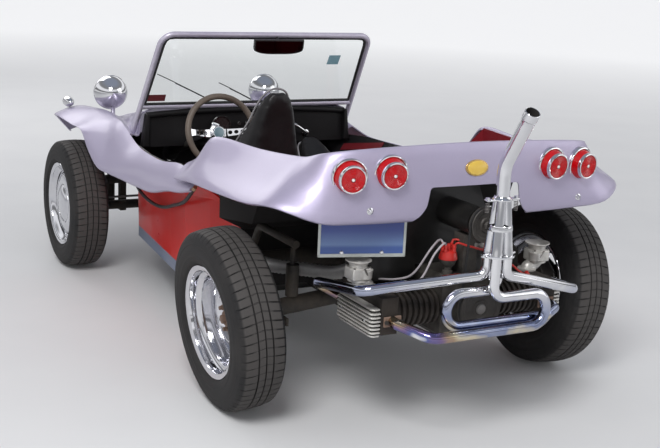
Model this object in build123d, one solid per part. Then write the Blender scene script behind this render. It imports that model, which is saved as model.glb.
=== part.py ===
from build123d import *
import os
from math import cos, hypot, radians, sin, tan

# A rear-engined open dune buggy: a moulded body on a shortened steel floorpan.
# Millimetres, X to the vehicle's right, Y forward and Z up. While the pieces are
# made, Y is counted from the rear axle and Z from the ground. At the end they all
# move back by ORIGIN_AHEAD, so that the origin is under the middle of the vehicle.
ORIGIN_AHEAD = 977.3

# Running gear
WHEELBASE = 2030.0
REAR_TYRE_R = 331.0
FRONT_TYRE_R = 319.0
TYRE_HALF_WIDTH = 92.5
TREAD_SHOULDER = 68.0
REAR_TRACK_HALF = 706.0
FRONT_TRACK_HALF = 683.0
REAR_CAMBER = 5.5
RIM_R = 207.0
BEAD_SEAT_R = 190.0
RIM_HALF_WIDTH = 80.0
RIM_WALL = 4.0
SLOT_COUNT = 8

# Clearances
SEAT_GAP = 0.3
PIN_GAP = 0.3

# Floorpan and body
GROUND_CLEAR = 205.0
RAIL_HEIGHT = 52.0
RAIL_WIDTH = 42.0
SHEET = 4.0
SKIN = 6.0
TUNNEL_HALF = 62.0
TUNNEL_HEIGHT = 150.0
NECK_START_Y = 1900.0
NECK_HEIGHT = 62.0
PAN_REAR_Y = 590.0
TUNNEL_REAR_Y = 350.0
# the floorpan's edge: half-width, y
PAN_EDGE = [(452.0, 1715.0), (517.0, 985.0), (517.0, 800.0), (440.0, PAN_REAR_Y)]

# Front body: centre z, hood edge x z, valley x z, crest x z, crease x z, lower edge x z at each y
COWL_Y = 1450.0
FRONT_BODY = [
    (COWL_Y, 885, 530, 860, 543, 757, 577, 735, 665, 648, 694, 582),
    (1600.0, 868, 478, 842, 526, 750, 556, 750, 665, 640, 700, 583),
    (1746.0, 848, 430, 820, 496, 748, 546, 772, 674, 690, 700, 640),
    (1860.0, 832, 395, 803, 466, 746, 537, 785, 680, 728, 700, 716),
    (2030.0, 800, 360, 770, 424, 744, 530, 786, 680, 728, 699, 720),
    (2300.0, 745, 310, 722, 385, 712, 528, 770, 672, 738, 696, 724),
    (2500.0, 662, 270, 642, 350, 650, 518, 744, 636, 716, 660, 700),
    (2640.0, 590, 230, 576, 320, 592, 470, 690, 578, 672, 600, 655),
    (2712.0, 522, 200, 512, 300, 524, 420, 602, 500, 590, 522, 578),
]
# Flanks: sill top x z, crease x z, lower edge x z at each y
FLANK = [
    (COWL_Y, 577, 735, 665, 648, 694, 582),
    (1300.0, 600, 732, 666, 656, 688, 586),
    (1100.0, 620, 730, 666, 668, 682, 592),
    (900.0, 630, 736, 667, 684, 690, 610),
    (700.0, 632, 763, 668, 712, 690, 656),
    (560.0, 640, 757, 668, 726, 690, 678),
    (440.0, 660, 738, 672, 728, 690, 708),
]
# Hood lid: half-width in plan at each y
HOOD_LID = [(1490.0, 455.0), (2030.0, 318.0), (2380.0, 250.0)]
LID_GAP = 0.8
# Rear body, from the front of the hump round to the middle of the tail.
# plan origin x y, direction from the side, then out and up to rim, middle and edge
CORNER_X = 450.0
CORNER_Y = -200.0
REAR_BODY = [
    (0.0, 590.0, 0, 636, 790, 666, 765, 696, 727),
    (0.0, 530.0, 0, 634, 812, 668, 778, 701, 735),
    (0.0, 470.0, 0, 630, 846, 672, 800, 707, 743),
    (0.0, 400.0, 0, 626, 912, 670, 832, 712, 752),
    (0.0, 340.0, 0, 620, 930, 664, 852, 717, 758),
    (0.0, 60.0, 0, 580, 931, 658, 856, 732, 778),
    (0.0, CORNER_Y, 0, 564, 951, 654, 872, 740, 795),
    (CORNER_X, CORNER_Y, 30, 122, 958, 236, 878, 314, 812),
    (CORNER_X, CORNER_Y, 60, 190, 986, 250, 866, 290, 768),
    (CORNER_X, CORNER_Y, 90, 218, 1003, 243, 850, 240, 751),
    (0.0, CORNER_Y, 90, 243, 1018, 266, 850, 260, 750),
]
ROLL = 16.0
LIP = 13.0
CUTOUT_TOP_HALF = 181.0
CUTOUT_LOW_HALF = 212.0
CUTOUT_TOP_Z = 873.0
CUTOUT_LOW_Z = 785.0

# Suspension
BEAM_Y = WHEELBASE + 168.0
BEAM_LOW_Z = 255.0
BEAM_HIGH_Z = 395.0
BEAM_TUBE_R = 24.0
BEAM_HALF = 460.0
TOWER_X = 380.0
KINGPIN_X = 570.0
PIN_R = 11.0
BALL_AHEAD = 100.0
ROD_R = 6.0
EYE_R = 13.0
ARM_PLATE = 10.0
PITMAN_X = -100.0
FRONT_AXLE_Z = FRONT_TYRE_R
TORSION_Y = 385.0
TORSION_R = 45.0
TORSION_HALF = 480.0
DIFF_HALF = 110.0
AXLE_TUBE_R = 32.0
BEARING_X = 600.0

# Engine
CRANK_Z = 445.0
CASE_HALF = 120.0
CASE_FRONT_Y = -140.0
CASE_REAR_Y = -480.0
CYLINDER_YS = (-280.0, -420.0)
CYLINDER_R = 50.0
FIN_R = 62.0
FIN_COUNT = 8
HEAD_X = 300.0
COVER_X = 362.0
COVER_END_X = 420.0
PULLEY_Y = -535.0
GENERATOR_Z = 750.0
PIPE_R = 19.0
PIPE_WALL = 2.0
STINGER_R = 24.0
COLLECTOR_Y = -615.0

# Steering column and wheel
HUB = (-310.0, 1030.0, 830.0)
COLUMN_FOOT = (-310.0, 1700.0, 620.0)
WHEEL_RING_R = 165.0
GRIP_R = 11.0

# Windshield
RAIL_Y = 1421.0
RAIL_Z = 890.0
RAIL_X = 549.0
TOP_X = 522.0
TOP_Y = 1208.0
TOP_Z = 1237.0
POST_DROP = 151.0
FRAME_R = 13.0
GLASS = 5.0


def spin(vector, angle):
    """A vector turned about +Z by the angle in degrees."""
    c, s = cos(radians(angle)), sin(radians(angle))
    return Vector(vector[0] * c - vector[1] * s, vector[0] * s + vector[1] * c, vector[2])


def rod(start, end, radius):
    """A round bar between two points."""
    a, b = Vector(*start), Vector(*end)
    return extrude(Plane(origin=a, z_dir=b - a) * Circle(radius), (b - a).length)


def tube(start, end, radius, bore):
    """A round bar with a bore all the way through."""
    a, b = Vector(*start), Vector(*end)
    return extrude(Plane(origin=a, z_dir=b - a) * (Circle(radius) - Circle(bore)), (b - a).length)


def pipe(points, bends, radius, bore=0.0):
    """A round bar or tube along straight runs joined by arcs of the given radii."""
    path = FilletPolyline(*points, radius=bends)
    ring = Circle(radius) - Circle(bore) if bore else Circle(radius)
    return sweep(Plane(origin=path @ 0, z_dir=path % 0) * ring, path=path)


def block(low, high):
    """A box from its lowest to its highest corner."""
    size = [h - l for l, h in zip(low, high)]
    return Pos(*[(l + h) / 2 for l, h in zip(low, high)]) * Box(*size)


def turned(profile, point, direction):
    """A profile of (distance along, radius) pairs turned about a line."""
    along = Vector(*direction).normalized()
    side = Vector(0, 0, 1) if abs(along.Z) < 0.9 else Vector(1, 0, 0)
    plane = Plane(origin=Vector(*point), x_dir=along, z_dir=along.cross(side))
    face = plane * make_face(Polyline(*profile, close=True))
    return revolve(face, Axis(Vector(*point), along), 360)


def mirrored(piece):
    return mirror(piece, Plane.YZ)


def clear_of(piece, shell):
    """The main part of a piece once a wall that it stands on is taken out of it."""
    return largest(piece - shell)


def both(piece):
    """A right-hand piece and its mirror image."""
    return [*piece.solids(), *mirrored(piece).solids()]


def largest(piece):
    return max(piece.solids(), key=lambda s: s.volume)


def wall(outline, thickness):
    """A wall's section: an outline, and its copy moved to the right of its direction."""
    inner = []
    for i, (x, z) in enumerate(outline):
        normals = []
        for a, b in ((max(i - 1, 0), i), (i, min(i + 1, len(outline) - 1))):
            dx, dz = outline[b][0] - outline[a][0], outline[b][1] - outline[a][1]
            length = hypot(dx, dz)
            if length > 0:
                normals.append((dz / length, -dx / length))
        nx = sum(n[0] for n in normals) / len(normals)
        nz = sum(n[1] for n in normals) / len(normals)
        scale = thickness / max(nx * nx + nz * nz, 0.3)
        inner.append((x + nx * scale, z + nz * scale))
    return [*outline, *reversed(inner)]


def ruled(sections):
    """A solid through wires that each have the same number of points."""
    return Solid.make_loft([Wire.make_polygon(s, close=True) for s in sections], ruled=True)


def skin(stations, thickness):
    """A wall through (y, outline) stations."""
    return ruled([[(x, y, z) for x, z in wall(o, thickness)] for y, o in stations])


def between(table, y):
    """The row of a table that lies at y, worked out from its two neighbours."""
    rows = sorted(table)
    for low, high in zip(rows, rows[1:]):
        if low[0] <= y <= high[0]:
            t = (y - low[0]) / (high[0] - low[0])
            return [a + t * (b - a) for a, b in zip(low, high)]
    return list(rows[0] if y < rows[0][0] else rows[-1])


def pairs(values):
    return [(values[i], values[i + 1]) for i in range(0, len(values), 2)]


# The floorpan: pressed sheet, a backbone tunnel and the neck that carries the front beam.
PAN_Z = GROUND_CLEAR + 12.0
PAN_CLEAR = RAIL_WIDTH
TORSION_Z = PAN_Z + TUNNEL_HEIGHT + TORSION_R + SEAT_GAP


def make_floor_pan():
    edge = [(x - PAN_CLEAR, y) for x, y in PAN_EDGE]
    outline = [*edge, *[(-x, y) for x, y in reversed(edge)]]
    sheet = extrude(Plane.XY.offset(PAN_Z) * make_face(Polyline(*outline, close=True)), SHEET)
    tunnel = block((-TUNNEL_HALF, TUNNEL_REAR_Y, PAN_Z), (TUNNEL_HALF, NECK_START_Y, PAN_Z + TUNNEL_HEIGHT))
    neck_end = BEAM_Y - BEAM_TUBE_R - SEAT_GAP
    neck = block((-TUNNEL_HALF, NECK_START_Y, PAN_Z), (TUNNEL_HALF, neck_end, PAN_Z + NECK_HEIGHT))
    return sheet + tunnel + neck


def make_side_rails():
    inner = [(x - RAIL_WIDTH, y) for x, y in reversed(PAN_EDGE)]
    face = make_face(Polyline(*PAN_EDGE, *inner, close=True))
    return both(extrude(Plane.XY.offset(GROUND_CLEAR) * face, RAIL_HEIGHT))


# The tub: painted walls that rise from the rails to the inner side of the sills.
TUB_FOOT_Z = GROUND_CLEAR + RAIL_HEIGHT
WAIST_OUT = 0.1
WAIST_UP = 0.7
TUB_YS = (1715.0, 1600.0, COWL_Y, 1300.0, 1100.0, 900.0, 700.0, 560.0, 480.0)


def pan_half(y):
    return between([(py, px) for px, py in PAN_EDGE], y)[1]


def sill_inside(y):
    """Where the inner corner of the sill or fender crest lies at y."""
    if y < COWL_Y:
        x, z = wall(pairs(between(FLANK, y)[1:]), SKIN)[-1]
        return x, z - 0.1 * SKIN
    row = between(FRONT_BODY, y)
    return row[6] - SKIN, row[7] - 3 * SKIN


def tub_outline(y):
    """The outer face of the right-hand tub wall at y, from the top down."""
    x, z = sill_inside(y)
    foot = pan_half(y)
    waist = (foot + WAIST_OUT * (x - foot), TUB_FOOT_Z + WAIST_UP * (z - TUB_FOOT_Z))
    return [(x - SEAT_GAP, z), waist, (foot, TUB_FOOT_Z)]


def make_lower_tub():
    return both(skin([(y, tub_outline(y)) for y in TUB_YS], SKIN))


# The front body with its fenders and flanks is one moulding, and the hood lid lies in it.
def front_outline(row):
    centre, rest = row[1], pairs(row[2:])
    lip = (rest[-1][0] - LIP, rest[-1][1] - LIP)
    half = [*rest, lip]
    left = [(-x, z) for x, z in reversed(half)]
    return [*left, (0.0, centre), *half]


def lid_prism(inset, depth):
    right = [(x - inset, y) for y, x in HOOD_LID]
    right[0] = (right[0][0], right[0][1] + inset)
    right[-1] = (right[-1][0], right[-1][1] - inset)
    outline = [*right, *[(-x, y) for x, y in reversed(right)]]
    return extrude(Plane.XY.offset(500) * make_face(Polyline(*outline, close=True)), depth)


def make_front_shell():
    shell = skin([(row[0], front_outline(row)) for row in FRONT_BODY], SKIN)
    stations = []
    for row in FLANK:
        outline = pairs(row[1:])
        lip = (outline[-1][0] - LIP, outline[-1][1] - LIP)
        stations.append((row[0], [*outline, lip]))
    flank = skin(stations, SKIN)
    return shell + flank + mirrored(flank)


def make_rear_body():
    sections = []
    for ox, oy, angle, rim_d, rim_z, mid_d, mid_z, edge_d, edge_z in REAR_BODY:
        outward = spin((1, 0, 0), -angle)
        lip = min(LIP, 0.5 * hypot(edge_d - mid_d, edge_z - mid_z))
        outline = [
            (rim_d - ROLL, rim_z - 0.4 * ROLL),
            (rim_d, rim_z),
            (mid_d, mid_z),
            (edge_d, edge_z),
            (edge_d - lip, edge_z - 0.6 * lip),
        ]
        section = [Vector(ox, oy, z) + outward * d for d, z in wall(outline, SKIN)]
        sections.append(section)
    half = ruled(sections)
    cut = Polyline(
        (-CUTOUT_LOW_HALF, 700),
        (-CUTOUT_LOW_HALF, CUTOUT_LOW_Z),
        (-CUTOUT_TOP_HALF, CUTOUT_LOW_Z + 30),
        (-CUTOUT_TOP_HALF, CUTOUT_TOP_Z),
        (CUTOUT_TOP_HALF, CUTOUT_TOP_Z),
        (CUTOUT_TOP_HALF, CUTOUT_LOW_Z + 30),
        (CUTOUT_LOW_HALF, CUTOUT_LOW_Z),
        (CUTOUT_LOW_HALF, 700),
        close=True,
    )
    opening = extrude(Plane.XZ.offset(300) * make_face(cut), 300)
    return half + mirrored(half) - opening


# The rear deck closes the body between the humps and falls to the floor behind the seats.
# y, height of the deck. Its side walls reach up to the rolled rim of the rear body.
DECK = [(-200.0, 905.0), (20.0, 870.0), (60.0, 770.0), (110.0, 650.0), (340.0, 625.0)]
# y, height of the deck, half-width, height of its side walls
DECK_TAIL = (-380.0, 945.0, 482.0, 964.0)
DECK_FRONT = [(448.0, 540.0, 440.0, 700.0), (478.0, 285.0, 428.0, 520.0), (600.0, 268.0, 424.0, 420.0)]
DECK_WALL = 7.0


def make_rear_liner():
    sides = [(row[1], row[3], row[4]) for row in REAR_BODY if row[2] == 0]
    rows = [DECK_TAIL]
    for y, z in DECK:
        _, rim_d, rim_z = between(sides, y)
        rows.append((y, z, rim_d - ROLL - DECK_WALL - SEAT_GAP, rim_z - 0.4 * ROLL - 1))
    stations = []
    for y, z, half, top in [*rows, *DECK_FRONT]:
        stations.append((y, [(-half, top), (-half, z), (half, z), (half, top)]))
    tunnel = block(
        (-TUNNEL_HALF - SEAT_GAP, TUNNEL_REAR_Y - 20, 0),
        (TUNNEL_HALF + SEAT_GAP, 700, PAN_Z + TUNNEL_HEIGHT + SEAT_GAP),
    )
    return skin(stations, DECK_WALL) - tunnel


# The dash hangs under the cowl, and a toe board closes the tub in front of the feet.
DASH_HALF = 524.0
DASH_Y = 1425.0
DASH_LOW_Z = 700.0
TOE_Y = PAN_EDGE[0][1] - 55.0


def make_dash():
    row = FRONT_BODY[0]
    top = [(-row[2] + 14, row[3] - 10), (0, row[1] - 8), (row[2] - 14, row[3] - 10)]
    outline = [*top, (DASH_HALF - 4, DASH_LOW_Z), (-DASH_HALF + 4, DASH_LOW_Z)]
    face = Plane.XZ.offset(-COWL_Y) * make_face(Polyline(*outline, close=True))
    panel = extrude(face, COWL_Y - DASH_Y - SHEET)
    panel -= rod(COLUMN_FOOT, HUB, 20 + SEAT_GAP)
    half = [(x - SKIN - 2.0, z) for x, z in tub_outline(TOE_Y)]
    half = [(half[0][0] - 6, half[0][1] - 10), half[1], (half[2][0], half[2][1] + SHEET)]
    board = [*half, *[(-x, z) for x, z in reversed(half)]]
    toe = extrude(Plane.XZ.offset(-TOE_Y) * make_face(Polyline(*board, close=True)), SHEET)
    toe -= block(
        (-TUNNEL_HALF - SEAT_GAP, TOE_Y - 50, 0),
        (TUNNEL_HALF + SEAT_GAP, TOE_Y + 50, PAN_Z + TUNNEL_HEIGHT + SEAT_GAP),
    )
    toe -= rod((COLUMN_FOOT[0], TOE_Y - 60, 640), (COLUMN_FOOT[0], TOE_Y + 60, 600), 34)
    return [*panel.solids(), *toe.solids()]


def make_windshield_frame(body):
    below = POST_DROP / (TOP_Z - RAIL_Z)
    foot = (RAIL_X + below * (RAIL_X - TOP_X), RAIL_Y + below * (RAIL_Y - TOP_Y), RAIL_Z - POST_DROP)
    top = FilletPolyline(foot, (TOP_X, TOP_Y, TOP_Z), (-TOP_X, TOP_Y, TOP_Z), (-foot[0], *foot[1:]), radius=[60, 60])
    hoop = sweep(Plane(origin=top @ 0, z_dir=top % 0) * Circle(FRAME_R), path=top)
    rail = rod((-RAIL_X + 4, RAIL_Y, RAIL_Z), (RAIL_X - 4, RAIL_Y, RAIL_Z), FRAME_R)
    return clear_of(hoop + rail, body)


def make_windshield_glass():
    rise = Vector(0, TOP_Y - RAIL_Y, TOP_Z - RAIL_Z)
    plane = Plane(origin=(0, RAIL_Y, RAIL_Z), x_dir=(1, 0, 0), z_dir=Vector(1, 0, 0).cross(rise.normalized()))
    edge = FRAME_R + SEAT_GAP + 0.4
    height = rise.length - edge
    low, high = RAIL_X - edge - 0.6, TOP_X - edge - 0.2
    pane = make_face(Polyline((-low, edge), (low, edge), (high, height), (-high, height), close=True))
    corners = [v for v in pane.vertices() if v.Y > height / 2]
    pane = fillet(corners, 60 - edge)
    return extrude(plane * pane, GLASS / 2, both=True)


# Two wiper arms on the rail, and the mirror under the top bar.
def make_windshield_fittings(frame):
    parts = []
    for base, tip in (((-200, 0), (-520, 160)), ((11, 0), (-199, 110))):
        rise = (TOP_Y - RAIL_Y) / (TOP_Z - RAIL_Z)
        ahead = FRAME_R + 12
        a = (base[0], RAIL_Y + ahead, RAIL_Z + 8)
        b = (tip[0], RAIL_Y + ahead + rise * tip[1], RAIL_Z + 8 + tip[1])
        spindle = rod((base[0], RAIL_Y + FRAME_R + SEAT_GAP, RAIL_Z), (base[0], RAIL_Y + ahead + 2, RAIL_Z), 8)
        parts += (rod(a, b, 3.5) + spindle).solids()
    mirror_y, mirror_z = TOP_Y - 30, TOP_Z - 50
    glass = Pos(42, mirror_y, mirror_z) * Box(240, 22, 62)
    glass = fillet(glass.edges().filter_by(Axis.Y), 20)
    stem = rod((42, mirror_y, mirror_z), (42, TOP_Y, TOP_Z), 6)
    return [*parts, clear_of(glass + stem, frame)]


# Chrome headlamps on stalks that stand in the valley between hood and fender.
LAMP_X = 439.0
LAMP_Y = 2210.0
LAMP_Z = 853.0
LAMP_R = 89.0


def front_surface(x, y):
    """Height of the front body's outer face."""
    outline = [(0, between(FRONT_BODY, y)[1]), *pairs(between(FRONT_BODY, y)[2:])]
    for (ax, az), (bx, bz) in zip(outline, outline[1:]):
        if ax <= x <= bx:
            return az + (x - ax) / (bx - ax) * (bz - az)
    return outline[-1][1]


def make_headlamps(body):
    profile = [(-92, 0), (-90, 22), (-74, 52), (-40, 78), (-6, 86), (0, LAMP_R), (14, LAMP_R), (20, 80), (27, 0)]
    bowl = turned(profile, (LAMP_X, LAMP_Y, LAMP_Z), (0, 1, 0))
    foot = front_surface(LAMP_X, LAMP_Y)
    stalk = rod((LAMP_X, LAMP_Y - 36, foot + 2.5), (LAMP_X, LAMP_Y - 36, LAMP_Z - 60), 11)
    pad = rod((LAMP_X, LAMP_Y - 36, foot - 12), (LAMP_X, LAMP_Y - 36, foot + 9), 20)
    return both(clear_of(bowl + stalk + pad, body))


SIGNAL_X = 600.0
SIGNAL_Y = 2440.0
SIGNAL_Z = 778.0


def make_turn_signals(body):
    profile = [(-38, 0), (-34, 14), (-20, 24), (8, 28), (20, 26), (26, 16), (28, 0)]
    bullet = turned(profile, (SIGNAL_X, SIGNAL_Y, SIGNAL_Z), (0, 1, 0))
    foot = front_surface(SIGNAL_X, SIGNAL_Y)
    stem = rod((SIGNAL_X, SIGNAL_Y - 8, foot - 6), (SIGNAL_X, SIGNAL_Y - 8, SIGNAL_Z - 12), 8)
    return both(clear_of(bullet + stem, body))


# Round tail lamps in pairs: base x y z, then the way that each one faces
TAIL_LAMPS = [((331, -440, 927), (0.07, -1, -0.10)), ((476, -425, 918), (0.30, -0.95, -0.07))]
TAIL_RING_R = 63.0
TAIL_LENS_R = 46.5
TAIL_RING_DEPTH = 13.0
TAIL_LENS_DEPTH = 36.0


def make_tail_lamps(body):
    rings, lenses = [], []
    for base, facing in TAIL_LAMPS:
        out = Vector(*facing).normalized()
        start = Vector(*base)
        ring = rod(start - out * 22, start + out * TAIL_RING_DEPTH, TAIL_RING_R) - body
        front = max(ring.solids(), key=lambda s: (s.center() - start).dot(out))
        lens = rod(start + out * TAIL_RING_DEPTH, start + out * TAIL_LENS_DEPTH, TAIL_LENS_R)
        rings += both(front)
        lenses += both(lens)
    return rings, lenses


# Steering: column, wheel, gearbox on the beam, and the arm that works both tie rods.
BALL_Y = WHEELBASE + BALL_AHEAD
ARM_Z = FRONT_AXLE_Z + 6.0


def column_dir():
    return (Vector(*COLUMN_FOOT) - Vector(*HUB)).normalized()


def make_steering_column():
    d = column_dir()
    hub = Vector(*HUB)
    sleeve = tube(hub + d * 40, Vector(*COLUMN_FOOT), 20, PIN_R + PIN_GAP)
    box_top = (PITMAN_X, WHEELBASE - 10, ARM_Z + 92)
    joint = rod(Vector(*COLUMN_FOOT) - d * 2, Vector(*COLUMN_FOOT) + d * 16, 17)
    shaft = rod(Vector(*COLUMN_FOOT) + d * 8, box_top, 9)
    low = ARM_Z + ARM_PLATE / 2 + 20
    box = block((PITMAN_X - 52, WHEELBASE - 62, low), (PITMAN_X + 52, WHEELBASE + 54, low + 86))
    clamp = block((PITMAN_X - 22, WHEELBASE + 40, BEAM_HIGH_Z - 8), (PITMAN_X + 22, BEAM_Y - 20, BEAM_HIGH_Z + 8))
    clamp -= rod((PITMAN_X - 40, BEAM_Y, BEAM_HIGH_Z), (PITMAN_X + 40, BEAM_Y, BEAM_HIGH_Z), BEAM_TUBE_R)
    box -= rod((PITMAN_X, WHEELBASE, low - 5), (PITMAN_X, WHEELBASE, low + 30), PIN_R + PIN_GAP)
    return (sleeve + joint + shaft + box + clamp).solids()


def make_steering_wheel():
    d = column_dir()
    hub = Vector(*HUB)
    plane = Plane(origin=hub, x_dir=(1, 0, 0), z_dir=d)
    rim = plane * Torus(WHEEL_RING_R, GRIP_R)
    boss = rod(hub - d * 8, hub + d * 34, 30)
    shaft = rod(hub + d * 30, hub + d * 120, PIN_R)
    wheel = rim + boss + shaft
    for angle in (0, 180, 270):
        spoke = Pos(WHEEL_RING_R / 2, 0, 0) * Box(WHEEL_RING_R, 34, 3.5)
        for x in (60, 86, 112):
            spoke -= Pos(x, 0, 0) * Cylinder(9, 10)
        wheel += plane * Rot(0, 0, angle) * spoke
    return wheel


def make_pitman_arm():
    pin = rod((PITMAN_X, WHEELBASE, ARM_Z), (PITMAN_X, WHEELBASE, ARM_Z + 48), PIN_R)
    return steer_arm(PITMAN_X) + pin


def steer_arm(x):
    """A flat arm from a pivot on the axle line to its ball, with the ball's pin both ways."""
    low, high = ARM_Z - ARM_PLATE / 2, ARM_Z + ARM_PLATE / 2
    plate = block((x - 11, WHEELBASE, low), (x + 11, BALL_Y, high))
    plate += rod((x, BALL_Y, low), (x, BALL_Y, high), EYE_R)
    plate += rod((x, WHEELBASE, low), (x, WHEELBASE, high), EYE_R + 7)
    return plate


ROD_DROP = ARM_PLATE / 2 + PIN_GAP + 7.0
EYE_HALF = 7.0
BALL_PIN_R = 5.0


def ball_pin(x, side):
    """The pin under the left-hand arms or over the right-hand ones."""
    return rod((x, BALL_Y, ARM_Z), (x, BALL_Y, ARM_Z + side * (ROD_DROP + EYE_HALF)), BALL_PIN_R)


def make_tie_rod(side):
    z = ARM_Z + side * ROD_DROP
    ends = sorted((side * KINGPIN_X, PITMAN_X))
    bar = rod((ends[0], BALL_Y, z), (ends[1], BALL_Y, z), ROD_R)
    for x in ends:
        bar += rod((x, BALL_Y, z - EYE_HALF), (x, BALL_Y, z + EYE_HALF), EYE_R)
    for x in ends:
        bar -= rod((x, BALL_Y, z - 20), (x, BALL_Y, z + 20), BALL_PIN_R + PIN_GAP)
    return bar


CARRIER_X = KINGPIN_X - 44.0
LUG_LOW_Z = 236.0
LUG_HIGH_Z = 402.0
LUG = 22.0


def make_knuckle(side):
    x = side * KINGPIN_X
    body = rod((x, WHEELBASE, LUG_LOW_Z + LUG / 2 + PIN_GAP + 1), (x, WHEELBASE, LUG_HIGH_Z - LUG / 2 - PIN_GAP - 1), 17)
    body += rod((x, WHEELBASE, LUG_LOW_Z - 6), (x, WHEELBASE, LUG_HIGH_Z + 6), PIN_R)
    body += rod((x, WHEELBASE, FRONT_AXLE_Z), (side * (FRONT_TRACK_HALF + 20), WHEELBASE, FRONT_AXLE_Z), 15)
    body += rod((x + side * 30, WHEELBASE, FRONT_AXLE_Z), (x + side * 34, WHEELBASE, FRONT_AXLE_Z), 112)
    return body + steer_arm(x) + ball_pin(x, side)


# Front axle beam: two crossways tubes with shock towers. Trailing arms carry the kingpins.
def make_front_beam():
    beam = []
    for z in (BEAM_LOW_Z, BEAM_HIGH_Z):
        beam.append(rod((-BEAM_HALF, BEAM_Y, z), (BEAM_HALF, BEAM_Y, z), BEAM_TUBE_R))
    for x in (-TOWER_X, TOWER_X):
        beam.append(block((x - 16, BEAM_Y - 20, BEAM_LOW_Z - 30), (x + 16, BEAM_Y + 20, 600)))
        beam.append(block((x - 16, BEAM_Y - 20, 556), (x + 16, SHOCK_Y + 18, 600)))
    for x in (-46, 46):
        beam.append(block((x - 5, BEAM_Y - 14, BEAM_LOW_Z), (x + 5, BEAM_Y + 14, BEAM_HIGH_Z)))
    whole = beam[0]
    for piece in beam[1:]:
        whole += piece
    return whole


SHOCK_Y = BEAM_Y + 50.0


def make_front_arms():
    boss_x = BEAM_HALF + SEAT_GAP
    arms = None
    for z, end_z in ((BEAM_LOW_Z, LUG_LOW_Z + 14), (BEAM_HIGH_Z, LUG_HIGH_Z - 14)):
        arm = rod((boss_x, BEAM_Y, z), (boss_x + 28, BEAM_Y, z), 23)
        arm += rod((boss_x + 14, BEAM_Y, z), (CARRIER_X - 2, WHEELBASE + 8, end_z), 14)
        arms = arm if arms is None else arms + arm
    carrier = block((CARRIER_X - 13, WHEELBASE - 18, LUG_LOW_Z - LUG / 2), (CARRIER_X + 12, WHEELBASE + 18, LUG_HIGH_Z + LUG / 2))
    for z in (LUG_LOW_Z, LUG_HIGH_Z):
        carrier += block((CARRIER_X, WHEELBASE - 17, z - LUG / 2), (KINGPIN_X, WHEELBASE + 17, z + LUG / 2))
        carrier += rod((KINGPIN_X, WHEELBASE, z - LUG / 2), (KINGPIN_X, WHEELBASE, z + LUG / 2), 17)
        carrier -= rod((KINGPIN_X, WHEELBASE, z - LUG), (KINGPIN_X, WHEELBASE, z + LUG), PIN_R + PIN_GAP)
    shock_x = TOWER_X + 46
    shock = rod((shock_x, SHOCK_Y, BEAM_LOW_Z - 4), (shock_x, SHOCK_Y, 440), 20)
    shock += rod((shock_x, SHOCK_Y, 440), (shock_x, SHOCK_Y, 590), 8)
    shock += rod((TOWER_X + 16 + SEAT_GAP, SHOCK_Y, 582), (shock_x + 12, SHOCK_Y, 582), 9)
    arm_x = boss_x + 14
    shock += rod((shock_x, SHOCK_Y, BEAM_LOW_Z), (arm_x + 8, SHOCK_Y, BEAM_LOW_Z), 8)
    shock += rod((arm_x, SHOCK_Y, BEAM_LOW_Z), (arm_x, BEAM_Y, BEAM_LOW_Z), 8)
    return both(arms + carrier + shock)


# Wheels. Each one turns about the line from its centre outwards.
def tyre_lowest():
    """How far the rear tyre reaches below its centre when it leans."""
    c = radians(REAR_CAMBER)
    return max(r * cos(c) + a * sin(c) for a, r in tyre_outline(REAR_TYRE_R))


def tyre_outline(radius):
    w = TYRE_HALF_WIDTH
    half = [
        (0.0, radius),
        (TREAD_SHOULDER - 26, radius - 1.5),
        (TREAD_SHOULDER, radius - 6),
        (TREAD_SHOULDER + 16, radius - 22),
        (w, radius - 66),
        (w - 3, RIM_R + 16),
        (RIM_HALF_WIDTH - 6 - 0.5, RIM_R + 1),
        (RIM_HALF_WIDTH - 6 - 0.5, BEAD_SEAT_R),
    ]
    return half


def make_tyre(centre, out, radius):
    outer = tyre_outline(radius)
    bore = [
        (RIM_HALF_WIDTH - 22, BEAD_SEAT_R),
        (RIM_HALF_WIDTH - 14, RIM_R + 14),
        (TYRE_HALF_WIDTH - 12, RIM_R + 34),
        (TREAD_SHOULDER - 6, radius - 24),
        (0.0, radius - 16),
    ]
    half = [*outer, *bore]
    other = [(-a, r) for a, r in reversed(half[1:-1])]
    return turned([*half, *other], centre, out)


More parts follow.
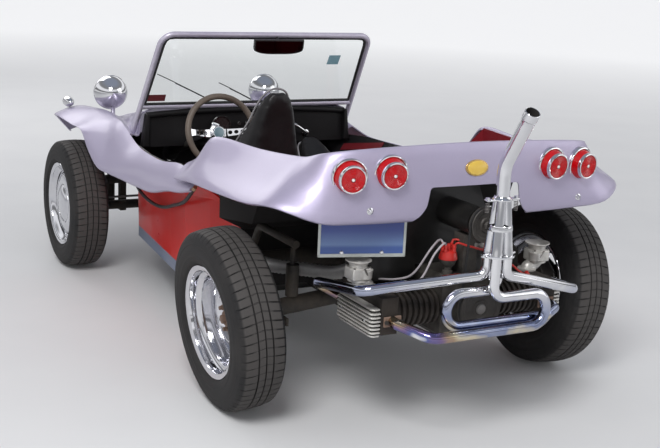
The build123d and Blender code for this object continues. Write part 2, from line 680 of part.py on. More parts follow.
def make_rim(centre, out, disc_at, disc_r, slotted, drum_in, bore):
    """Barrel, disc and brake drum as one turned piece; disc_at is measured outwards."""
    h, seat = RIM_HALF_WIDTH, BEAD_SEAT_R - 0.5
    well = 168.0
    barrel = [
        (h - 6, RIM_R),
        (h - 6, seat),
        (46, seat - 1),
        (34, well),
        (-34, well),
        (-46, seat - 1),
        (-h + 6, seat),
        (-h + 6, RIM_R),
        (-h, RIM_R),
        (-h, seat - 4),
        (-47, seat - 5),
        (-36, well - RIM_WALL),
        (36, well - RIM_WALL),
        (47, seat - 5),
        (h, seat - 4),
        (h, RIM_R),
    ]
    wheel = turned(barrel, centre, out)
    disc = [
        (disc_at - 12, well - RIM_WALL / 2),
        (disc_at - 12, well - 10),
        (disc_at, well - 18),
        (disc_at + 6, 92),
        (disc_at - 10, 76),
        (disc_at - 10, bore),
        (disc_at - 18, bore),
        (disc_at - 18, 80),
        (disc_at - 3, 94),
        (disc_at - 8, well - 20),
        (disc_at - 20, well - 12),
        (disc_at - 20, well - RIM_WALL / 2),
    ]
    wheel += turned(disc, centre, out)
    drum = [(drum_in, bore), (drum_in, 122), (-6 + disc_at - 24, 122), (disc_at - 18, 60), (disc_at - 18, bore)]
    wheel += turned(drum, centre, out)
    if slotted:
        plane = Plane(origin=centre, x_dir=(0, 1, 0), z_dir=out)
        for i in range(SLOT_COUNT):
            slot = extrude(Plane.XY.offset(disc_at - 30) * SlotOverall(58, 24), 60)
            wheel -= plane * Rot(0, 0, i * 360 / SLOT_COUNT) * Pos(118, 0, 0) * Rot(0, 0, 90) * slot
    return wheel


REAR_CENTRE_Z = tyre_lowest()


def rear_wheel_line(side):
    c = radians(REAR_CAMBER)
    return (side * REAR_TRACK_HALF, 0.0, REAR_CENTRE_Z), (side * cos(c), 0.0, -sin(c))


def front_wheel_line(side):
    return (side * FRONT_TRACK_HALF, WHEELBASE, FRONT_AXLE_Z), (float(side), 0.0, 0.0)


# Rear axle: gearbox and final drive, swinging axle tubes and the torsion housing.
AXLE_BORE = 15.0
BELL_R = 62.0
DIFF_Z = REAR_CENTRE_Z + tan(radians(REAR_CAMBER)) * (REAR_TRACK_HALF - DIFF_HALF)


def axle_point(x):
    """A point on the right-hand wheel line at x."""
    return (x, 0.0, REAR_CENTRE_Z + tan(radians(REAR_CAMBER)) * (REAR_TRACK_HALF - x))


def make_transaxle():
    case = rod((-DIFF_HALF, 0, DIFF_Z), (DIFF_HALF, 0, DIFF_Z), 102)
    bell = turned([(0, 0), (0, 165), (36, 160), (58, 106), (135, 96), (135, 0)], (0, CASE_FRONT_Y + SEAT_GAP, CRANK_Z), (0, 1, 0))
    gearbox = rod((0, 0, DIFF_Z), (0, TORSION_Y - TORSION_R - 30, DIFF_Z), 76)
    nose = rod((0, TORSION_Y - 90, DIFF_Z), (0, TORSION_Y - TORSION_R - SEAT_GAP, DIFF_Z), 40)
    return case + bell + gearbox + nose


def make_axle_tubes():
    bell_end = DIFF_HALF + SEAT_GAP + BELL_R * sin(radians(REAR_CAMBER))
    arm = rod(axle_point(bell_end), axle_point(190), BELL_R)
    arm += rod(axle_point(180), axle_point(BEARING_X), AXLE_TUBE_R)
    arm += rod(axle_point(BEARING_X - 46), axle_point(BEARING_X), 50)
    arm += rod(axle_point(BEARING_X - 5), axle_point(REAR_TRACK_HALF - 10), AXLE_BORE - PIN_GAP)
    return both(arm)


HORN_X = 168.0
TOWER_TOP_Z = 588.0
TOWER_R = 15.0


def make_rear_torsion():
    frame = rod((-TORSION_HALF, TORSION_Y, TORSION_Z), (TORSION_HALF, TORSION_Y, TORSION_Z), TORSION_R)
    half = pipe(
        [(HORN_X, TORSION_Y, TORSION_Z - 20), (HORN_X, 160, 292), (HORN_X, -90, 292), (110, -128, 300)],
        [60, 20],
        17,
    )
    plate_x = TORSION_HALF + SEAT_GAP
    frame += half + mirrored(half)
    plate_end = axle_point(BEARING_X - 70)
    plate = Plane.YZ.offset(plate_x) * make_face(
        Polyline(
            (TORSION_Y + 40, TORSION_Z + 34),
            (TORSION_Y + 40, TORSION_Z - 34),
            (40, plate_end[2] - 62),
            (-38, plate_end[2] - 62),
            (-38, plate_end[2] - AXLE_TUBE_R - 1.2),
            (40, plate_end[2] - AXLE_TUBE_R - 1.2),
            close=True,
        )
    )
    plate = extrude(plate, 9)
    x = plate_x - 26
    tower = pipe([(x, TORSION_Y, TORSION_Z + 20), (x, 290, TOWER_TOP_Z), (x, -22, TOWER_TOP_Z)], [50], TOWER_R)
    frame += tower + mirrored(tower)
    low = axle_point(x - 24)[2] + AXLE_TUBE_R + 2 * SEAT_GAP
    shock = rod((x, 0, low), (x, 0, 510), 24)
    shock += rod((x, 0, 500), (x, 0, TOWER_TOP_Z - TOWER_R - SEAT_GAP), 9)
    return [*frame.solids(), *both(plate), *both(shock)]


# Engine: a flat four behind the axle, in the open.
def make_crankcase():
    low, high = CRANK_Z - 112, CRANK_Z + 115
    case = block((-CASE_HALF, CASE_REAR_Y, low), (CASE_HALF, CASE_FRONT_Y, high))
    case = chamfer(case.edges().filter_by(Axis.Y), 22)
    stand = block((-34, CASE_REAR_Y + 15, high - 2), (34, CASE_REAR_Y + 75, GENERATOR_Z - 50 - SEAT_GAP))
    return case + stand


def make_cylinder_banks():
    bank = None
    for y in CYLINDER_YS:
        start = CASE_HALF + SEAT_GAP
        pitch = (HEAD_X - start) / FIN_COUNT
        profile = [(0, 0), (0, CYLINDER_R)]
        for i in range(FIN_COUNT):
            a = (i + 0.3) * pitch
            b = a + 0.45 * pitch
            profile += [(a, CYLINDER_R), (a, FIN_R), (b, FIN_R), (b, CYLINDER_R)]
        profile += [(HEAD_X - start + 2, CYLINDER_R), (HEAD_X - start + 2, 0)]
        cylinder = turned(profile, (start, y, CRANK_Z), (1, 0, 0))
        bank = cylinder if bank is None else bank + cylinder
    y0, y1 = CYLINDER_YS[1] - 70, CYLINDER_YS[0] + 70
    bank += block((HEAD_X, y0, CRANK_Z - 62), (COVER_X, y1, CRANK_Z + 66))
    return both(bank)


def make_rocker_covers():
    y0, y1 = CYLINDER_YS[1] - 66, CYLINDER_YS[0] + 66
    low, high = CRANK_Z - 72, CRANK_Z + 26
    cover = block((COVER_X + SEAT_GAP, y0, low), (COVER_END_X - 8, y1, high))
    cover = fillet(cover.edges().filter_by(Axis.X), 18)
    for i in range(6):
        z = low + 16 + i * (high - low - 32) / 5
        cover += block((COVER_END_X - 10, y0 + 14, z - 3), (COVER_END_X, y1 - 14, z + 3))
    return both(cover)


SHROUD_Y0 = -305.0
SHROUD_Y1 = -170.0


def make_fan_shroud():
    z = GENERATOR_Z - 15
    back = Plane.XZ.offset(-SHROUD_Y1)
    outline = make_face(
        Polyline(
            (-330, CRANK_Z + FIN_R + 6),
            (-330, CRANK_Z + 130),
            (-170, z),
            (-120, z + 120),
            (-50, z + 148),
            (50, z + 148),
            (120, z + 120),
            (170, z),
            (330, CRANK_Z + 130),
            (330, CRANK_Z + FIN_R + 6),
            (124, CRANK_Z + FIN_R + 6),
            (124, CRANK_Z + 116),
            (-124, CRANK_Z + 116),
            (-124, CRANK_Z + FIN_R + 6),
            close=True,
        )
    )
    shroud = extrude(back * outline, SHROUD_Y1 - SHROUD_Y0)
    shroud -= rod((0, SHROUD_Y1 - 60, GENERATOR_Z), (0, SHROUD_Y1 + 10, GENERATOR_Z), 92)
    return shroud


def make_generator():
    body = rod((0, SHROUD_Y0 - SEAT_GAP, GENERATOR_Z), (0, -500, GENERATOR_Z), 50)
    shaft = rod((0, -498, GENERATOR_Z), (0, PULLEY_Y + 12 + SEAT_GAP, GENERATOR_Z), 11)
    return body + shaft


def make_belt_drive():
    z_low, z_high = 454.0, GENERATOR_Z
    crank = turned([(-12, 0), (-12, 84), (-6, 84), (-2, 76), (2, 76), (6, 84), (12, 84), (12, 0)], (0, PULLEY_Y, z_low), (0, 1, 0))
    crank += rod((0, PULLEY_Y, z_low), (0, CASE_REAR_Y - SEAT_GAP, z_low), 20)
    upper = turned([(-12, 0), (-12, 62), (-6, 62), (-2, 55), (2, 55), (6, 62), (12, 62), (12, 0)], (0, PULLEY_Y, z_high), (0, 1, 0))
    rise = z_high - z_low
    lean = (76 - 55) / rise
    c = (1 - lean * lean) ** 0.5
    straights = []
    for grow in (8.0, 0.6):
        a, b = 76 + grow, 55 + grow
        quad = Polyline((-a * c, lean * a), (a * c, lean * a), (b * c, rise + lean * b), (-b * c, rise + lean * b), close=True)
        straights.append(make_face(quad) + Circle(a) + Pos(0, rise) * Circle(b))
    ring = straights[0] - straights[1]
    belt = extrude(Plane.XZ.offset(-PULLEY_Y - 1.8) * Pos(0, z_low) * ring, 3.6)
    return [*crank.solids(), *upper.solids(), *belt.solids()]


def make_carburettors():
    x, y, z = 340.0, -348.0, CRANK_Z + 66
    carb = rod((x, y, z + SEAT_GAP), (x, y, z + 34), 24)
    carb += block((x - 34, y - 36, z + 30), (x + 34, y + 36, z + 74))
    carb += rod((x, y, z + 70), (x, y, z + 104), 38)
    bar_y, bar_z = y - 28, z + 80
    carb += block((x - 6, bar_y - 19, z + 64), (x + 6, y - 30, bar_z + 6))
    pair = carb + mirrored(carb)
    return pair + rod((-x, bar_y - 16, bar_z), (x, bar_y - 16, bar_z), 5)


def make_ignition():
    top = CRANK_Z + 115 + SEAT_GAP
    body = rod((-78, -440, top), (-78, -440, top + 48), 20)
    body += rod((-78, -440, top + 46), (-78, -440, top + 92), 33)
    filler = rod((74, -450, top), (74, -450, top + 96), 20) + rod((74, -450, top + 90), (74, -450, top + 112), 27)
    return [*body.solids(), *filler.solids()]


# Exhaust: four pipes into an upright collector that ends in a raised pipe.
LOOP_X = 232.0
LOOP_LOW_Z = 385.0
LOOP_HIGH_Z = 520.0
LOOP_R = 66.0
SPREAD = 22.0
COLLECTOR_LOW_Z = 648.0
COLLECTOR_HIGH_Z = 852.0
STINGER_BEND_Z = 966.0
STINGER_BEND_R = 90.0
STINGER_BACK = 122.0
STINGER_RISE = 196.0


def make_header_pipes():
    pipes = []
    head_front, head_rear = CYLINDER_YS[0] + 70, CYLINDER_YS[1] - 70
    for side in (-1, 1):
        y = COLLECTOR_Y + SPREAD
        points = [
            (side * 330, head_front + SEAT_GAP, 420),
            (side * 330, head_front + 62, 420),
            (side * 448, head_front + 50, 442),
            (side * 448, -530, 500),
            (side * SPREAD, y, 556),
            (side * SPREAD, y, COLLECTOR_LOW_Z),
        ]
        pipes.append(pipe(points, [40, 44, 60, 34], PIPE_R, PIPE_R - PIPE_WALL))
    for side, low_y in ((-1, COLLECTOR_Y + 43), (1, COLLECTOR_Y + 1)):
        y = COLLECTOR_Y - SPREAD
        points = [
            (side * 322, head_rear - SEAT_GAP, 430),
            (side * 322, low_y, 430),
            (side * 250, low_y, LOOP_LOW_Z),
            (-side * LOOP_X, low_y, LOOP_LOW_Z),
            (-side * LOOP_X, y, LOOP_HIGH_Z),
            (-side * SPREAD, y, LOOP_HIGH_Z),
            (-side * SPREAD, y, COLLECTOR_LOW_Z),
        ]
        pipes.append(pipe(points, [36, 60, LOOP_R, LOOP_R, 44], PIPE_R, PIPE_R - PIPE_WALL))
    return [s for p in pipes for s in p.solids()]


def make_collector():
    low, high = COLLECTOR_LOW_Z + SEAT_GAP, COLLECTOR_HIGH_Z
    profile = [(0, 30), (0, 56), (8, 56), (60, 46), (high - low, 25), (high - low, 22), (60, 43), (8, 52), (8, 30)]
    body = turned(profile, (0, COLLECTOR_Y, low), (0, 0, 1))
    for z in (low + 9, high - 12):
        ears = block((-66, COLLECTOR_Y - 12, z - 4), (66, COLLECTOR_Y + 12, z + 4))
        body += ears - rod((0, COLLECTOR_Y, z - 20), (0, COLLECTOR_Y, z + 20), 24)
    for x in (-58, 58):
        body += rod((x, COLLECTOR_Y, low + 9), (x, COLLECTOR_Y, high - 12), 4)
    mouth = (0, COLLECTOR_Y - STINGER_BACK, STINGER_BEND_Z + STINGER_RISE)
    points = [(0, COLLECTOR_Y, high - 6), (0, COLLECTOR_Y, STINGER_BEND_Z), mouth]
    stinger = pipe(points, [STINGER_BEND_R], STINGER_R, STINGER_R - PIPE_WALL)
    return body + stinger


# Licence plate, blank, with its frame and two straps to the inside of the tail.
PLATE_AT = (-370.0, -348.0, 694.0)
PLATE_YAW = -16.5
PLATE_SIZE = (306.0, 148.0)


def tail_depth(x):
    """How far the tail's crease lies behind the corner's centre at x."""
    corner, middle = REAR_BODY[-2][5], REAR_BODY[-1][5]
    return middle + (corner - middle) * x / CORNER_X


def make_licence_plate():
    frame = Box(PLATE_SIZE[0], 5, PLATE_SIZE[1])
    frame = fillet(frame.edges().filter_by(Axis.Y), 10)
    plate = Pos(*PLATE_AT) * Rot(0, 0, PLATE_YAW) * frame
    for along in (-70, 70):
        at = Vector(*PLATE_AT) + spin((along, 0, 0), PLATE_YAW)
        plate += block((at.X - 9, at.Y - 1.5, at.Z + 40), (at.X + 9, at.Y + 1.5, 840))
        back = CORNER_Y - tail_depth(abs(at.X)) + SKIN + 3 * SEAT_GAP
        plate += block((at.X - 9, back, 836), (at.X + 9, at.Y + 1.5, 840))
    return plate


# Seats: a bucket whose narrow back has wings. The driver's stands up, the other is folded forward.
SEAT_X = 250.0
SEAT_HALF = 180.0
SEAT_PIVOT = (0.0, 688.0, 360.0)
BACK_LEAN = 6.0
FOLDED_LEAN = -60.0
BACK_THICK = 45.0
WING_THICK = 28.0
# height above the pivot, half-width, and how far the driver's and the plain seat's wings stand forward
BACK_SHAPE = [
    (-36.0, 150.0, 150.0, 3.0),
    (60.0, 156.0, 152.0, 3.0),
    (160.0, 158.0, 154.0, 26.0),
    (340.0, 146.0, 154.0, 30.0),
    (420.0, 132.0, 138.0, 28.0),
    (478.0, 118.0, 104.0, 24.0),
    (520.0, 108.0, 48.0, 18.0),
    (570.0, 96.0, 18.0, 10.0),
    (640.0, 76.0, 5.0, 5.0),
    (692.0, 52.0, 3.0, 3.0),
    (714.0, 31.0, 2.0, 2.0),
]
HINGE_R = 16.0


def make_seat(x, lean, wings):
    floor = PAN_Z + SHEET + SEAT_GAP
    base = block((-SEAT_HALF + 30, 750, floor), (SEAT_HALF - 30, 1060, floor + 60))
    base += block((-SEAT_HALF, 700, floor + 55), (SEAT_HALF, 1110, floor + 140))
    base = fillet(base.edges().filter_by(Axis.Z), 20)
    for side in (-1, 1):
        xs = sorted((side * SEAT_HALF, side * (SEAT_HALF - 36)))
        base += block((xs[0], 800, floor + 130), (xs[1], 1080, floor + 190))
    sections = []
    for row in BACK_SHAPE:
        z, half, wing = row[0], row[1], row[wings]
        right = [(half, -BACK_THICK), (half, wing), (half - WING_THICK, wing), (half - WING_THICK, 0)]
        ring = [*right, *[(-px, py) for px, py in reversed(right)]]
        sections.append([(px, py, z) for px, py in ring])
    back = Pos(*SEAT_PIVOT) * Rot(lean, 0, 0) * ruled(sections)
    ends = [(side * (SEAT_HALF - 24), *SEAT_PIVOT[1:]) for side in (-1, 1)]
    return Pos(x, 0, 0) * (base + back + rod(*ends, HINGE_R))


# Pedals, gear lever and hand brake.
PEDAL_XS = (-400.0, -320.0, -200.0)
PEDAL_Y = TOE_Y - 120.0
PEDAL_Z = 430.0
LEVER_Y = 1150.0
LEVER_TOP_Z = 690.0


def make_floor_controls():
    floor = PAN_Z + SHEET + SEAT_GAP
    tunnel_top = PAN_Z + TUNNEL_HEIGHT + SEAT_GAP
    parts = []
    for x in PEDAL_XS:
        pedal = rod((x, PEDAL_Y, floor + 0.8), (x, PEDAL_Y - 20, PEDAL_Z), 8)
        pedal += Pos(x, PEDAL_Y - 34, PEDAL_Z) * Rot(20, 0, 0) * Box(56, 14, 66)
        parts.append(pedal)
    knob = (0, LEVER_Y - 70, LEVER_TOP_Z)
    lever = rod((0, LEVER_Y, tunnel_top + 10), knob, 8) + Pos(*knob) * Sphere(24)
    lever += rod((0, LEVER_Y, tunnel_top), (0, LEVER_Y, tunnel_top + 20), 40)
    brake = rod((0, 900, tunnel_top + 20), (0, 1010, 520), 11) + rod((0, 900, tunnel_top), (0, 900, tunnel_top + 34), 22)
    return [s for p in [*parts, lever, brake] for s in p.solids()]


# The loose hose at the left: it leaves the tub wall and hangs in the open behind the front wheel.
HOSE_R = 8.0
HOSE_POINTS = [
    (-530.0, 1550.0, 560.0),
    (-541.0, 1510.0, 522.0),
    (-537.0, 1455.0, 487.0),
    (-530.0, 1390.0, 468.0),
    (-527.0, 1315.0, 461.0),
    (-529.0, 1240.0, 463.0),
    (-533.0, 1165.0, 474.0),
    (-540.0, 1090.0, 490.0),
    (-549.0, 1015.0, 511.0),
    (-560.0, 940.0, 533.0),
    (-571.0, 870.0, 552.0),
    (-583.0, 800.0, 571.0),
    (-592.0, 730.0, 597.0),
    (-600.0, 665.0, 632.0),
    (-603.0, 610.0, 672.0),
]


def hose_radii(points):
    radii = []
    for a, b, c in zip(points, points[1:], points[2:]):
        u, v = Vector(*b) - Vector(*a), Vector(*c) - Vector(*b)
        turn = radians(u.get_angle(v))
        radii.append(0.45 * min(u.length, v.length) / tan(turn / 2))
    return radii


def make_side_hose():
    radii = hose_radii(HOSE_POINTS)
    print("hose radii", [round(r) for r in radii])
    path = FilletPolyline(*HOSE_POINTS, radius=radii)
    print("hose length", round(path.length, 1))
    return sweep(Plane(origin=path @ 0, z_dir=path % 0) * Circle(HOSE_R), path=path)


def make_hose_ends(tub):
    """The sleeve where the hose leaves the tub wall, and the plug on its free end."""
    first, second = Vector(*HOSE_POINTS[0]), Vector(*HOSE_POINTS[1])
    back = (first - second).normalized()
    stub = rod(first, first + back * 20, 10.5) + rod(first + back * 12, first + back * 12 + Vector(62, 0, 0), 9)
    sleeve = clear_of(stub, tub)
    last, before = Vector(*HOSE_POINTS[-1]), Vector(*HOSE_POINTS[-2])
    ahead = (last - before).normalized()
    return [sleeve, *rod(last, last + ahead * 24, 9.5).solids()]


def make_all():
    shell = make_front_shell()
    lid = shell & lid_prism(LID_GAP / 2, 500)
    front = shell - lid_prism(-LID_GAP / 2, 500)
    rear = make_rear_body()
    tub = make_lower_tub()
    frame = make_windshield_frame(front)
    rings, lenses = make_tail_lamps(rear)
    parts = {
        "floor_pan": make_floor_pan(),
        "side_rails": make_side_rails(),
        "lower_tub": tub,
        "body_front": front,
        "hood": lid,
        "body_rear": rear,
        "rear_liner": make_rear_liner(),
        "dash": make_dash(),
        "windshield_frame": frame,
        "windshield_glass": make_windshield_glass(),
        "windshield_fittings": make_windshield_fittings(frame),
        "headlamps": make_headlamps(front),
        "turn_signals": make_turn_signals(front),
        "tail_lamp_rings": rings,
        "tail_lamp_lenses": lenses,
        "steering_column": make_steering_column(),
        "steering_wheel": make_steering_wheel(),
        "pitman_arm": make_pitman_arm() + ball_pin(PITMAN_X, -1) + ball_pin(PITMAN_X, 1),
        "front_beam": make_front_beam(),
        "front_arms": make_front_arms(),
        "transaxle": make_transaxle(),
        "axle_tubes": make_axle_tubes(),
        "rear_torsion": make_rear_torsion(),
        "crankcase": make_crankcase(),
        "cylinder_banks": make_cylinder_banks(),
        "rocker_covers": make_rocker_covers(),
        "fan_shroud": make_fan_shroud(),
        "generator": make_generator(),
        "belt_drive": make_belt_drive(),
        "carburettors": make_carburettors(),
        "ignition": make_ignition(),
        "header_pipes": make_header_pipes(),
        "collector": make_collector(),
        "licence_plate": make_licence_plate(),
        "driver_seat": make_seat(-SEAT_X, BACK_LEAN, wings=2),
        "passenger_seat": make_seat(SEAT_X, FOLDED_LEAN, wings=3),
        "floor_controls": make_floor_controls(),
        "side_hose": make_side_hose(),
        "hose_ends": make_hose_ends(tub[1]),
    }
    for name, side in (("left", -1), ("right", 1)):
        parts["knuckle_" + name] = make_knuckle(side)
        parts["tie_rod_" + name] = make_tie_rod(side)
        centre, out = front_wheel_line(side)
        parts["tyre_front_" + name] = make_tyre(centre, out, FRONT_TYRE_R)
        parts["rim_front_" + name] = make_rim(centre, out, 58.0, 150.0, False, -70.0, 15.3)
        centre, out = rear_wheel_line(side)
        parts["tyre_rear_" + name] = make_tyre(centre, out, REAR_TYRE_R)
        parts["rim_rear_" + name] = make_rim(centre, out, -4.0, 150.0, True, -96.0, 15.3)
    return parts


os.makedirs("parts", exist_ok=True)
SHIFT = Location((0, -ORIGIN_AHEAD, 0))
for node, made in make_all().items():
    solids = list(made) if isinstance(made, list) else list(made.solids())
    moved = [s.moved(SHIFT) for s in solids]
    export_step(moved[0] if len(moved) == 1 else Compound(children=moved), "parts/" + node + ".step")
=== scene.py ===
import math
from contextlib import contextmanager

import bmesh
import bpy
from mathutils import Matrix, Vector


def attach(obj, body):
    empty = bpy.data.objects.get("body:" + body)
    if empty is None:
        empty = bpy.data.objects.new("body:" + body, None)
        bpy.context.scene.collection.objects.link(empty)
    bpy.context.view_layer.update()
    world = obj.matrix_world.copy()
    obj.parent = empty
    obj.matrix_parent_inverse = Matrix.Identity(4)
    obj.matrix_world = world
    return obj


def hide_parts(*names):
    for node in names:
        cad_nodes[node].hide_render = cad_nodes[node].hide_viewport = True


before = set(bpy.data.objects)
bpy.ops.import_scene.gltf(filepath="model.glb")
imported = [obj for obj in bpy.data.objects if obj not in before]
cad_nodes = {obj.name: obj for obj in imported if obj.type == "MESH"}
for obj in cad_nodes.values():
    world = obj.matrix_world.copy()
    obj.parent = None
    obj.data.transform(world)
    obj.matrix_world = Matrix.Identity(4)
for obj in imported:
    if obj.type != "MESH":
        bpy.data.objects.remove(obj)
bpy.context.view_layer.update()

# Camera: stands behind the left rear corner at eye height, with a short telephoto lens.
# Its place, turn and lens are those that the photograph's view gives.
CAMERA_AT = Vector((-2.2835, -4.6023, 1.6341))
CAMERA_YAW, CAMERA_PITCH, CAMERA_ROLL = -0.4991, -0.2340, 0.0467
ahead = Vector((
    -math.sin(CAMERA_YAW) * math.cos(CAMERA_PITCH),
    math.cos(CAMERA_YAW) * math.cos(CAMERA_PITCH),
    math.sin(CAMERA_PITCH),
))
level_right = Vector((math.cos(CAMERA_YAW), math.sin(CAMERA_YAW), 0))
level_up = level_right.cross(ahead)
camera_right = math.cos(CAMERA_ROLL) * level_right + math.sin(CAMERA_ROLL) * level_up
camera_up = math.cos(CAMERA_ROLL) * level_up - math.sin(CAMERA_ROLL) * level_right
bpy.ops.object.camera_add()
camera = bpy.context.object
camera.matrix_world = Matrix((
    (*camera_right, 0), (*camera_up, 0), (*-ahead, 0), (0, 0, 0, 1),
)).transposed()
camera.location = CAMERA_AT
camera.data.lens = 63.0
camera.data.sensor_width = 36.0
camera.data.clip_end = 300
bpy.context.scene.camera = camera
bpy.context.scene.view_settings.view_transform = "Standard"


# Studio floor: one pale sheet with a matt, faintly mottled finish that runs out of view. It is
# lifted towards white with distance where it is looked at, and lights nothing by it.
def new_material(name):
    """An empty node material, with its tree and its shader."""
    material = bpy.data.materials.new(name)
    material.use_nodes = True
    return material, material.node_tree, material.node_tree.nodes["Principled BSDF"]


def fed(tree, kind, output, **given):
    """A shader node's output, with its settings (lower case) set and its inputs set or linked."""
    node = tree.nodes.new(kind)
    for key, value in given.items():
        if key.islower():
            setattr(node, key, value)
        else:
            feed(tree, node.inputs[key.replace("_", " ")], value)
    return node.outputs[output]


def feed(tree, target, value):
    """Links a socket into an input, or sets the input to a value."""
    if isinstance(value, bpy.types.NodeSocket):
        tree.links.new(value, target)
    else:
        target.default_value = value


def math_of(tree, operation, *terms):
    """A math node over sockets and numbers."""
    node = tree.nodes.new("ShaderNodeMath")
    node.operation = operation
    for target, term in zip(node.inputs, terms):
        feed(tree, target, term)
    return node.outputs[0]


def ramp_of(tree, value, *colours, between=()):
    """A colour ramp from the first colour to the last, with (position, colour) stops between."""
    node = tree.nodes.new("ShaderNodeValToRGB")
    for stop, colour in zip(node.color_ramp.elements, colours):
        stop.color = (*colour, 1)
    for position, colour in between:
        node.color_ramp.elements.new(position).color = (*colour, 1)
    tree.links.new(value, node.inputs["Fac"])
    return node.outputs["Color"]


def shade(tree, shader, **given):
    """Sets or links the shader's named inputs."""
    for key, value in given.items():
        feed(tree, shader.inputs[key.replace("_", " ")], value)


def select_only(*pieces):
    """Selects the pieces alone, the first as the active one."""
    bpy.ops.object.select_all(action="DESELECT")
    for piece in pieces:
        piece.select_set(True)
    bpy.context.view_layer.objects.active = pieces[0] if pieces else None


select_only()
bpy.ops.mesh.primitive_plane_add(size=180, location=(0, 0, 0))
studio_floor = bpy.context.object
studio_floor.name = "studio_floor"
floor_paint, tree, shader = new_material("floor_paint")
place = fed(tree, "ShaderNodeTexCoord", "Object")
mottle = fed(tree, "ShaderNodeTexNoise", "Fac", Vector=place, Scale=1.5, Detail=6)
far = tree.nodes.new("ShaderNodeVectorMath")
far.operation = "LENGTH"
tree.links.new(place, far.inputs[0])
pale = fed(tree, "ShaderNodeMapRange", "Result", Value=far.outputs["Value"], From_Min=2.5, From_Max=16.0,
           To_Min=0.02, To_Max=0.55)
seen = tree.nodes.new("ShaderNodeLightPath").outputs
direct = math_of(tree, "MAXIMUM", seen["Is Camera Ray"], seen["Is Transmission Ray"])
shade(tree, shader, Base_Color=ramp_of(tree, mottle, (0.66, 0.66, 0.67), (0.74, 0.74, 0.74)),
      Emission_Strength=math_of(tree, "MULTIPLY", pale, direct), Roughness=0.85, Specular_IOR_Level=0.2)
studio_floor.data.materials.append(floor_paint)

# Studio light: a soft box high behind the car's left, a fill from the right and one ahead. The room
# itself is pale, and darker overhead and in one low band so that chrome and paint have contrast.
for lamp_name, size, power, at in (
    ("key_box", 2.6, 330, (-3.6, -4.4, 5.8)),
    ("fill_box", 5.0, 70, (5.5, -4.0, 3.2)),
    ("front_box", 4.0, 90, (-1.0, 6.5, 4.6)),
):
    bpy.ops.object.light_add(type="AREA", location=at)
    lamp = bpy.context.object
    lamp.name = lamp_name
    lamp.data.size = size
    lamp.data.energy = power
    lamp.rotation_mode = "QUATERNION"
    lamp.rotation_quaternion = (Vector((0, 0, 0.5)) - Vector(at)).to_track_quat("-Z", "Y")

room = bpy.data.worlds.new("studio_room")
room.use_nodes = True
bpy.context.scene.world = room
tree = room.node_tree
split = tree.nodes.new("ShaderNodeSeparateXYZ")
tree.links.new(fed(tree, "ShaderNodeTexCoord", "Generated"), split.inputs["Vector"])
heights = tree.nodes.new("ShaderNodeValToRGB")
stops = heights.color_ramp.elements
stops[0].color = (0.80, 0.80, 0.80, 1)
stops[1].position, stops[1].color = 0.9, (0.26, 0.29, 0.36, 1)
for height, grey in ((0.06, 0.80), (0.10, 0.22), (0.20, 0.18), (0.25, 0.90), (0.44, 0.95), (0.52, 0.30), (0.62, 0.24)):
    stops.new(height).color = (grey, 1.01 * grey, 1.04 * grey, 1)
tree.links.new(split.outputs["Z"], heights.inputs["Fac"])
shown = tree.nodes["Background"]
tree.links.new(heights.outputs["Color"], shown.inputs["Color"])
path = tree.nodes.new("ShaderNodeLightPath").outputs
looked_at = math_of(tree, "MAXIMUM", path["Is Camera Ray"], path["Is Glossy Ray"])
chosen = tree.nodes.new("ShaderNodeMixShader")
tree.links.new(math_of(tree, "MAXIMUM", looked_at, path["Is Transmission Ray"]), chosen.inputs["Fac"])
tree.links.new(fed(tree, "ShaderNodeBackground", 0, Color=(0.93, 0.95, 1.0, 1), Strength=0.5), chosen.inputs[1])
tree.links.new(shown.outputs[0], chosen.inputs[2])
tree.links.new(chosen.outputs[0], tree.nodes["World Output"].inputs["Surface"])


# Side hose: a black rubber hose that leaves a sleeve in the tub's wall behind the left front wheel,
# sags along the sill and ends in a tan plug. It is one extruded tube.
HOSE_RADIUS = 0.008
AXLE_AHEAD = 0.9773      # the rear axle's distance behind the origin
HOSE_POINTS = [
    (-0.530, 1.550, 0.560), (-0.541, 1.510, 0.522), (-0.537, 1.455, 0.487), (-0.530, 1.390, 0.468),
    (-0.527, 1.315, 0.461), (-0.527, 1.240, 0.463), (-0.533, 1.165, 0.474), (-0.540, 1.090, 0.490),
    (-0.549, 1.015, 0.511), (-0.560, 0.940, 0.533), (-0.571, 0.870, 0.552), (-0.583, 0.800, 0.571),
    (-0.592, 0.730, 0.597), (-0.600, 0.665, 0.632), (-0.603, 0.610, 0.672),
]


def mottled_group():
    """Uneven tone over a surface: broad stains with fine speckle, from 0 to 1."""
    group = bpy.data.node_groups.new("uneven_tone", "ShaderNodeTree")
    for name, in_out, start in (("Broad", "INPUT", 4), ("Fine", "INPUT", 60), ("Mask", "OUTPUT", 0)):
        group.interface.new_socket(name, in_out=in_out, socket_type="NodeSocketFloat").default_value = start
    enter, leave = group.nodes.new("NodeGroupInput"), group.nodes.new("NodeGroupOutput")
    at = fed(group, "ShaderNodeTexCoord", "Object")
    broad, fine = (
        fed(group, "ShaderNodeTexNoise", "Fac", Vector=at, Scale=enter.outputs[name], Detail=detail, Roughness=0.6)
        for name, detail in (("Broad", 5), ("Fine", 3))
    )
    both = math_of(group, "MULTIPLY_ADD", fine, 0.35, broad)
    group.links.new(
        fed(group, "ShaderNodeMapRange", "Result", Value=both, From_Min=0.45, From_Max=0.9), leave.inputs["Mask"],
    )
    return group


uneven_tone = mottled_group()


def uneven(tree, broad, fine):
    """The uneven tone in a material, with the scales of its stains and its speckle."""
    return fed(tree, "ShaderNodeGroup", "Mask", node_tree=uneven_tone, Broad=broad, Fine=fine)


def spread(tree, value, low, high):
    """A value from 0 to 1, spread between two others."""
    return fed(tree, "ShaderNodeMapRange", "Result", Value=value, To_Min=low, To_Max=high)


